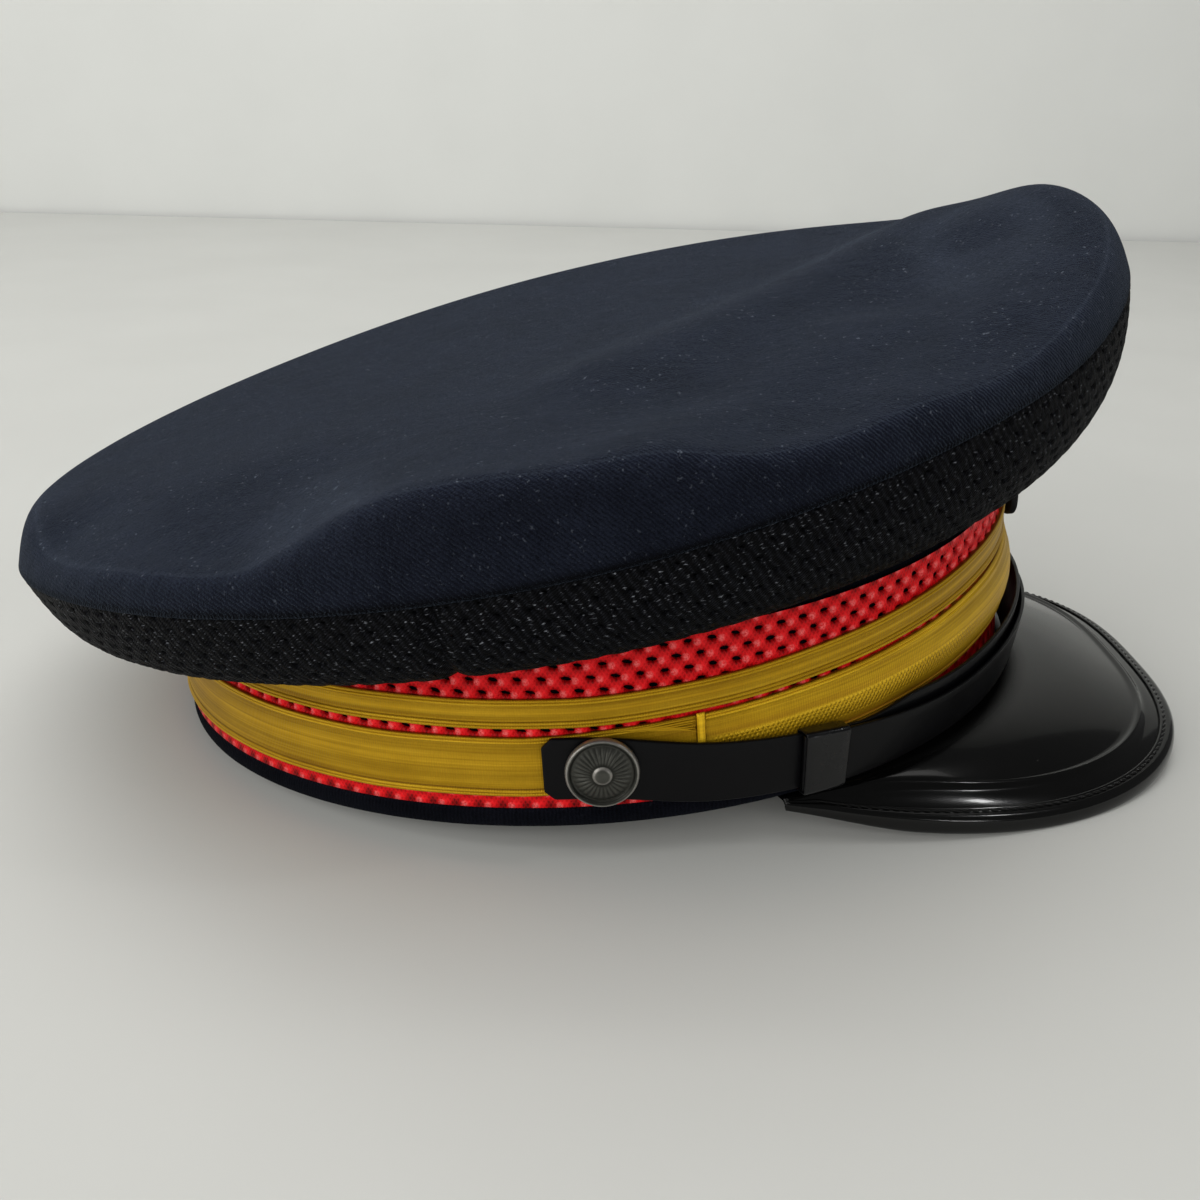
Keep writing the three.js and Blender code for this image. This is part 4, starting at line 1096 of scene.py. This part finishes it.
def add_stitches(shell):
    """Slanting stitches in the binding's groove."""
    fine = np.linspace(-END_ANGLE * 0.97, END_ANGLE * 0.97, 2400)
    edge, out, scale = binding_frame(fine)
    line = edge - out * (2.55 * scale)[:, None]
    line[:, 2] += GAP + 0.72 * scale
    run = running(line)
    step, points = 2.35, 7
    turn = np.linspace(0, 2 * math.pi, 8, endpoint=False)
    bulge = np.sqrt(np.clip(np.sin(np.linspace(0.12, math.pi - 0.12, points)), 0, 1))
    for k in range(int(run[-1] / step)):
        a, b = (k + 0.12) * step, (k + 0.90) * step
        path = stacked(*(np.interp(np.linspace(a, b, points), run, line[:, i]) for i in range(3)))
        x, y = (np.interp((a + b) / 2, run, out[:, i]) for i in (0, 1))
        away = unit(np.array([x, y, 0]))
        path = path + away * np.linspace(0.22, -0.22, points)[:, None]
        width = float(binding_scale(np.array(np.interp((a + b) / 2, run, fine))))
        fat = (0.36 * width * bulge)[:, None, None]
        tube = (path[:, None] + away * (np.cos(turn)[None, :, None] * fat)
                + np.array([0, 0, 1]) * (np.sin(turn)[None, :, None] * fat * 0.8 + 0.12))
        shell.grid(tube, (0, 0), wraps=True)
        for end in (0, -1):
            shell.cap(tube[end], centre=path[end])


# The binding's section: inwards from the peak's edge, and up.
BINDING_PROFILE = [
    (BINDING_WIDTH, GAP - 0.1), (BINDING_WIDTH + 0.15, GAP + 0.35), (BINDING_WIDTH - 0.1, GAP + 0.72),
    (BINDING_WIDTH - 0.5, GAP + 0.85), (2.7, GAP + 0.66), (2.35, GAP + 0.62), (1.9, GAP + 0.80),
    (1.3, GAP + 0.98), (0.7, GAP + 0.95), (0.2, GAP + 0.75), (-0.12, GAP + 0.35), (-0.28, -0.3),
    (-0.3, -0.9), (-0.22, -1.6), (0.05, -2.2), (0.5, -2.7), (1.2, -2.95), (2.2, -2.95), (3.2, -2.9),
    (BINDING_WIDTH, -2.6), (BINDING_WIDTH, -2.1), (0.9, -2.1), (0.9, GAP - 0.1),
]


def make_binding():
    """The rolled edge of the peak, with its stitches."""
    angles = peak_angles(241)
    edge, out, scale = binding_frame(angles)
    rows = []
    for inward, height in BINDING_PROFILE:
        p = edge - out * (inward * scale)[:, None]
        p[:, 2] += np.where(height > GAP, GAP + (height - GAP) * scale,
                            height * corner_thinning(angles))
        rows.append(p)
    points = np.array(rows + rows[:1])
    shell = Shell()
    shell.grid(points, stacked(angles * 1.9, np.arange(len(points))[:, None] * 0.6))
    for end in (0, -1):
        shell.cap(points[:-1, end])
    add_stitches(shell)
    return outward(shell.build("peak_binding_roll", BINDING_GLOSS, ["peak_binding"],
                               weld=WELD / 2))


# Strap, keepers, buttons and pad

def strap_inner(turn):
    """How far out the back of the strap's first layer lies."""
    room = read("room", turn) * (KEEPER_THICKNESS + GAP)
    return GAP + swell_at(turn) + room + read("stand", turn) * STRAP_OFF


def strap_low(turn):
    return STRAP_LIFT * read("low", turn)


def strap_high(turn):
    return strap_low(turn) + STRAP_WIDTH * read("width", turn)


def strap_tuck(turn, up):
    """How far the strap is tucked in at a share of its width, most at its lower edge."""
    return STRAP_TUCK * read("tuck", turn) * (1 - np.clip(up, 0, 1))


LAYER_STEP = STRAP_THICKNESS + GAP
KEEPER_REAR = KEEPER_TURN + KEEPER_HALF


def rounded(width, thickness, radius, dome, steps=5):
    """A strip's section: (outwards, upwards) pairs with rounded edges and a slightly domed face."""
    pts = []
    for cx, cy, a0 in ((thickness - radius, radius, -90), (thickness - radius, width - radius, 0),
                       (radius, width - radius, 90), (radius, radius, 180)):
        pts += [corner[:2] for corner in quarter(cx, cy, radius, a0, steps)]
        if a0 == -90:
            for f in (0.2, 0.4, 0.6, 0.8):
                pts.append((thickness + dome * math.sin(math.pi * f), width * f))
        if a0 == 90:
            for f in (0.75, 0.5, 0.25):
                pts.append((0.0, width * f))
    return np.array(pts)


def make_strap(label, start, stop, layer_at, tapered_end, proud):
    """One half of the strap; proud is how much wider it is in front than the half over it."""
    profile = rounded(STRAP_WIDTH, STRAP_THICKNESS, 0.34, 0.10)
    fine = np.linspace(0, 1, 241)
    turns = start + (stop - start) * ((0.5 - 0.5 * np.cos(fine * math.pi)) * 0.5 + fine * 0.5)
    wobble = rng.uniform(0, 6, 3)

    def section(turn):
        taper = max(0.0, 1.9 - abs(pattern_length(turn - tapered_end)))
        inner = float(strap_inner(turn) + LAYER_STEP * layer_at(turn))
        inner += 0.06 * math.sin(math.radians(turn) * 7 + wobble[0])
        low = float(strap_low(turn))
        up = profile[:, 1] / STRAP_WIDTH
        high = float(strap_high(turn)) + proud * float(1 - smoothstep(48, 58, abs(turn)))
        level = low + taper + (high - low - 2 * taper) * up
        level = level + 0.06 * math.sin(math.radians(turn) * 11 + wobble[1])
        return band_point(turn, inner + profile[:, 0] - strap_tuck(turn, up), level)

    return sweep_piece(f"strap_{label}", turns, section, (pattern_length(turns), running(profile)),
                       VINYL, [f"chin_strap_{label}"])


def make_keeper(label, side):
    """A loop round both halves, its outer edges worn round."""
    corners = []
    r, points = 0.75, 6
    lo, hi = -GAP - KEEPER_THICKNESS / 2, STRAP_WIDTH + GAP + KEEPER_THICKNESS / 2
    ins, outs = -GAP - KEEPER_THICKNESS / 2, LAYER_STEP + STRAP_THICKNESS + GAP + KEEPER_THICKNESS / 2
    for cx, cy, a0 in ((outs - r, lo + r, -90), (outs - r, hi - r, 0), (ins + r, hi - r, 90),
                       (ins + r, lo + r, 180)):
        corners += quarter(cx, cy, r, a0, points)
        span = np.linspace(lo + r, hi - r, points)[1:-1]
        if a0 == -90:
            corners += [(outs, y, 1, 0) for y in span]
        if a0 == 90:
            corners += [(ins, y, -1, 0) for y in span[::-1]]
    path = np.array(corners)
    half = KEEPER_LENGTH / 2
    t = KEEPER_THICKNESS / 2
    end = [(half - t * (1 - math.sin(a)), t * math.cos(a)) for a in np.radians([35, 70, 110, 145])]
    ring = [(-half + t, t), (-half * 0.5, t + 0.05), (0, t + 0.06), (half * 0.5, t + 0.05), (half - t, t)]
    ring += end + [(half - t, -t), (0, -t), (-half + t, -t)] + [(-x, -y) for x, y in end]
    rows = []
    for along, lift in ring:
        turn = side * KEEPER_TURN + math.degrees(along / HALF_WIDTH)
        inner = float(strap_inner(turn))
        low, up = float(strap_low(turn)), np.clip(path[:, 1] / STRAP_WIDTH, 0, 1)
        level = low + path[:, 1] + (float(strap_high(turn)) - low - STRAP_WIDTH) * up
        rows.append(band_point(turn, inner + path[:, 0] + path[:, 2] * lift - strap_tuck(turn, up),
                               level + path[:, 3] * lift))
    points = np.array(rows + rows[:1])
    u = running(path[:, :2])
    shell = Shell()
    shell.grid(points, stacked(np.append(u, u[-1] + 1), np.arange(len(points))[:, None] * 0.8),
               wraps=True)
    return outward(shell.build(f"keeper_{label}", KEEPER_VINYL, [f"strap_keeper_{label}"]))


# The button's section, in shares of its radius and height.
BUTTON_PROFILE = [
    (0, 0), (0.5, 0), (0.84, 0), (0.93, 0.08), (0.985, 0.2), (1.0, 0.34), (0.995, 0.48), (0.97, 0.6),
    (0.935, 0.66), (0.895, 0.66), (0.865, 0.6), (0.845, 0.5), (0.82, 0.46), (0.79, 0.47), (0.76, 0.50),
    (0.7, 0.55), (0.62, 0.61), (0.54, 0.67), (0.46, 0.72), (0.38, 0.76), (0.31, 0.79), (0.28, 0.79),
    (0.255, 0.84), (0.22, 0.92), (0.15, 0.98), (0.07, 1.0), (0.0, 1.0),
]
FLUTE_INNER, FLUTE_OUTER, FLUTE_DEPTH, FLUTES = 0.29, 0.80, 0.04, 30


def button_recess(radius, height, flute):
    """How deep and dirty the button's face is at a ring of its section."""
    if FLUTE_INNER < radius < FLUTE_OUTER:
        return 0.9 if radius == 0.31 else 0.66 - 5.5 * np.minimum(flute, FLUTE_DEPTH)
    if radius == 0.28:
        return 0.9
    if radius < 0.2:
        return 0.5
    return 0.85 if FLUTE_OUTER <= radius <= 0.90 and height > 0.3 else 0.10


def make_button(label, side):
    """A rimmed button with a fluted rosette on its face."""
    segments = 180
    ang = np.arange(segments) / segments * 2 * math.pi
    rows, recess = [], []
    for radius, height in BUTTON_PROFILE:
        flute = 0.0
        if FLUTE_INNER < radius < FLUTE_OUTER:
            reach = math.sin(math.pi * (radius - FLUTE_INNER) / (FLUTE_OUTER - FLUTE_INNER))
            flute = FLUTE_DEPTH * reach * (np.abs(np.cos(ang * FLUTES / 2)) * 2 - 1)
        rows.append(stacked(BUTTON_RADIUS * radius * np.cos(ang), BUTTON_RADIUS * radius * np.sin(ang),
                            BUTTON_HEIGHT * (height + flute)))
        recess.append(button_recess(radius, height, flute) * np.ones(segments))
    local = np.array(rows)
    turn = side * BUTTON_TURN
    out = float(strap_inner(turn)) + STRAP_THICKNESS + 0.05
    level = float(strap_low(turn) + strap_high(turn)) / 2
    up = unit(band_point(turn, out, level + 1) - band_point(turn, out, level - 1))
    along = band_point(turn + 1, out, level) - band_point(turn - 1, out, level)
    axis = unit(np.cross(up, along))
    axis *= np.sign(np.dot(axis, across_of(turn)))
    flat = unit(np.cross(up, axis))
    points = (band_point(turn, out, level) + local[..., :1] * flat + local[..., 1:2] * up
              + local[..., 2:] * axis)
    shell = Shell()
    shell.grid(points, (0, 0), wraps=True)
    piece = shell.build(f"button_face_{label}", SILVER, [f"button_{label}"], weld=0)
    layer = piece.data.attributes.new("recess", "FLOAT", "POINT")
    layer.data.foreach_set("value", np.concatenate(recess).astype(np.float32))
    return outward(piece)


def make_pad():
    """The badge's backing: a plate with small upper and large lower corners and a raised edge."""
    width, height, top_rise = 30.0, 17.0, 2.0
    top_corner, low_corner = 1.2, 5.0
    high = float(band_point(0.0, 0.0, BAND_HEIGHT)[2]) + top_rise
    back = float(band_point(0.0, GAP, BAND_HEIGHT)[1])
    half = width / 2
    outline = []
    for cx, cy, r, a0 in ((half - top_corner, -top_corner, top_corner, 0),
                          (-half + top_corner, -top_corner, top_corner, 90),
                          (-half + low_corner, low_corner - height, low_corner, 180),
                          (half - low_corner, low_corner - height, low_corner, 270)):
        outline += [corner[:2] for corner in quarter(cx, cy, r, a0, 12)]
    outline = np.array(outline)
    centre = np.array([0, -height / 2])
    rings = []
    for inset, y in ((11, 0.0), (0.35, 0.0), (0.08, -0.12), (0, -0.4), (0, -1.5), (0.1, -1.82),
                     (0.4, -1.98), (0.9, -2.0), (1.4, -1.9), (2.0, -1.9), (2.5, -2.0), (11, -2.0)):
        ring = centre + (outline - centre) * (1 - inset / 11)
        rings.append(stacked(ring[:, 0], back + y, high + ring[:, 1]))
    points = np.array(rings)
    shell = Shell()
    shell.grid(points, points[..., [0, 2]], wraps=True)
    return outward(shell.build("badge_backing_plate", PAD, ["badge_pad"]))


SIDES = (("right", 1), ("left", -1))
REAR_START = JOIN_TURN + 0.19
FRONT_END = JOIN_TURN - 0.19


def no_swell(turn):
    return 0.0


def first_layer(turn):
    return 0.0


def over_the_right(turn):
    """The left half's layer: over the right half, but on the band by its own button."""
    return float(smoothstep(-STRAP_END * 0.87, -KEEPER_REAR, turn))


crown = make_crown()
knit_front = make_side("side_mesh_front", "mesh_front", -SEAM_TURN, SEAM_TURN)
knit_rear = make_side("side_mesh_rear", "mesh_rear", SEAM_TURN, 360 - SEAM_TURN)
band = make_band()
red_mesh = make_red_mesh()
upper = make_braid("braid_upper", 0, 360, UPPER_LOW, UPPER_HIGH, 360, no_swell, wraps=True)
lower_rear = make_braid("braid_lower_rear", REAR_START, 360 - REAR_START, LOWER_LOW, LOWER_HIGH, 300,
                        no_swell, more=frayed_cords)
lower_front = make_braid("braid_lower_front", -FRONT_END, FRONT_END, LOWER_LOW, LOWER_HIGH, 220,
                         swell_at, material=GOLD_FRONT)
for label, side in SIDES:
    make_braid_end(label, side)
make_peak()
make_binding()
strap_right = make_strap("right", -KEEPER_REAR, STRAP_END, first_layer, STRAP_END, 3.0)
strap_left = make_strap("left", -STRAP_END, KEEPER_REAR, over_the_right, -STRAP_END, 0.0)
for label, side in SIDES:
    make_keeper(label, side)
    make_button(label, side)
make_pad()

# Every cloth and flat strap: width and length of its cut in metres, what it lies on, and the
# area of the cut where it isn't a rectangle.
SHEETS = [
    (crown, (0.262, 0.300), (knit_front, knit_rear), 0.0590),
    (knit_front, (0.078, 0.430), (band,), 0.0290),
    (knit_rear, (0.060, 0.330), (band,), 0.0195),
    (band, (0.047, 0.620), (), None),
    (red_mesh, (0.040, 0.630), (band,), None),
    (upper, (0.0103, 0.620), (red_mesh,), None),
    (lower_rear, (0.0150, 0.354), (red_mesh,), None),
    (lower_front, (0.0150, 0.270), (red_mesh,), None),
    (strap_right, (0.0140, 0.285), (band,), None),
    (strap_left, (0.0140, 0.285), (strap_right,), None),
]
for cloth, flat, below, area in SHEETS:
    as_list(below)


# Stage

def stage_plane(name, corners, material):
    mesh = bpy.data.meshes.new(name)
    mesh.from_pydata(corners, [], [(0, 1, 2, 3)])
    mesh.materials.append(material)
    plane = bpy.data.objects.new(name, mesh)
    bpy.context.scene.collection.objects.link(plane)


def pale(name, low, high):
    n = Nodes(name)
    tone = n.noise(n.solid(0.01), 1.0, 3.0, 0.5)
    grain = n.noise(n.solid(), 0.8, 2.0, 0.5)
    return n.set(base=n.ramp(tone, (0.3, low), (0.7, high)), rough=0.62, specular=0.3,
                 normal=n.bump(grain, 0.02, 0.4))


stage_plane("table", [(-3, -3, 0), (1.05, -3, 0), (1.10, 3, 0), (-3, 3, 0)],
            pale("table_top", (0.545, 0.55, 0.53), (0.565, 0.57, 0.55)))
stage_plane("wall", [(1.075, -1.4, -0.5), (1.09, 1.4, -0.5), (1.09, 1.4, 1.75), (1.075, -1.4, 1.75)],
            pale("wall_paint", (0.67, 0.68, 0.66), (0.69, 0.70, 0.68)))


def area_light(name, place, target, size, power, colour, mirrored=True):
    """A soft light; one that isn't mirrored doesn't show in glossy surfaces."""
    data = bpy.data.lights.new(name, "AREA")
    data.shape = "RECTANGLE"
    data.size, data.size_y = size
    data.energy = power
    data.color = colour
    lamp = bpy.data.objects.new(name, data)
    bpy.context.scene.collection.objects.link(lamp)
    lamp.visible_camera = False
    lamp.visible_glossy = mirrored
    lamp.location = place
    lamp.rotation_euler = (Vector(target) - Vector(place)).to_track_quat("-Z", "Y").to_euler()


WARM_WHITE = (1.0, 0.99, 0.965)
area_light("soft_top", (0.1, 0.35, 1.6), (0.1, 0.2, 0), (2.6, 1.9), 23, WARM_WHITE)
area_light("soft_front", (-1.5, 0.2, 0.62), (0, 0, 0.0), (3.0, 1.2), 21, WARM_WHITE, False)
area_light("soft_left", (-0.7, 1.3, 0.7), (0, 0, 0.0), (1.6, 1.0), 9, (1.0, 0.99, 0.97))
area_light("wall_wash", (0.35, 0, 1.3), (1.07, 0, 0.25), (2.0, 0.3), 3.2, WARM_WHITE)
area_light("strip", (-0.28, -0.855, 0.83), (-0.073, -0.077, 0.009), (0.06, 0.05), 0.5, (1, 1, 1))
area_light("strip_low", (-0.94, -0.89, 0.2), (-0.08, -0.08, 0.005), (0.14, 0.03), 0.5, (1, 1, 1))
world = bpy.data.worlds.new("studio")
world.use_nodes = True
background = world.node_tree.nodes["Background"].inputs
background["Color"].default_value = (0.80, 0.81, 0.80, 1)
background["Strength"].default_value = 0.16
bpy.context.scene.world = world
bpy.context.scene.view_settings.view_transform = "Standard"

# The camera stands where the photograph was taken.
forward = np.array([0.9206318, -0.00830378, -0.39034362])
right = np.array([-0.00901929, -0.99995933, 0.0])
up = np.cross(right, forward)
roll = 0.0253656
cam_right = math.cos(roll) * right + math.sin(roll) * up
cam_up = -math.sin(roll) * right + math.cos(roll) * up
data = bpy.data.cameras.new("camera")
data.sensor_width = 36
data.lens = 1239.97 / 1200 * 36
data.clip_start = 0.01
data.clip_end = 20
camera = bpy.data.objects.new("camera", data)
bpy.context.scene.collection.objects.link(camera)
matrix = Matrix([[cam_right[i], cam_up[i], -forward[i], 0] for i in range(3)] + [[0, 0, 0, 1]])
matrix.translation = Vector((-0.30657635, 0.00516748, 0.15128544))
camera.matrix_world = matrix
bpy.context.scene.camera = camera
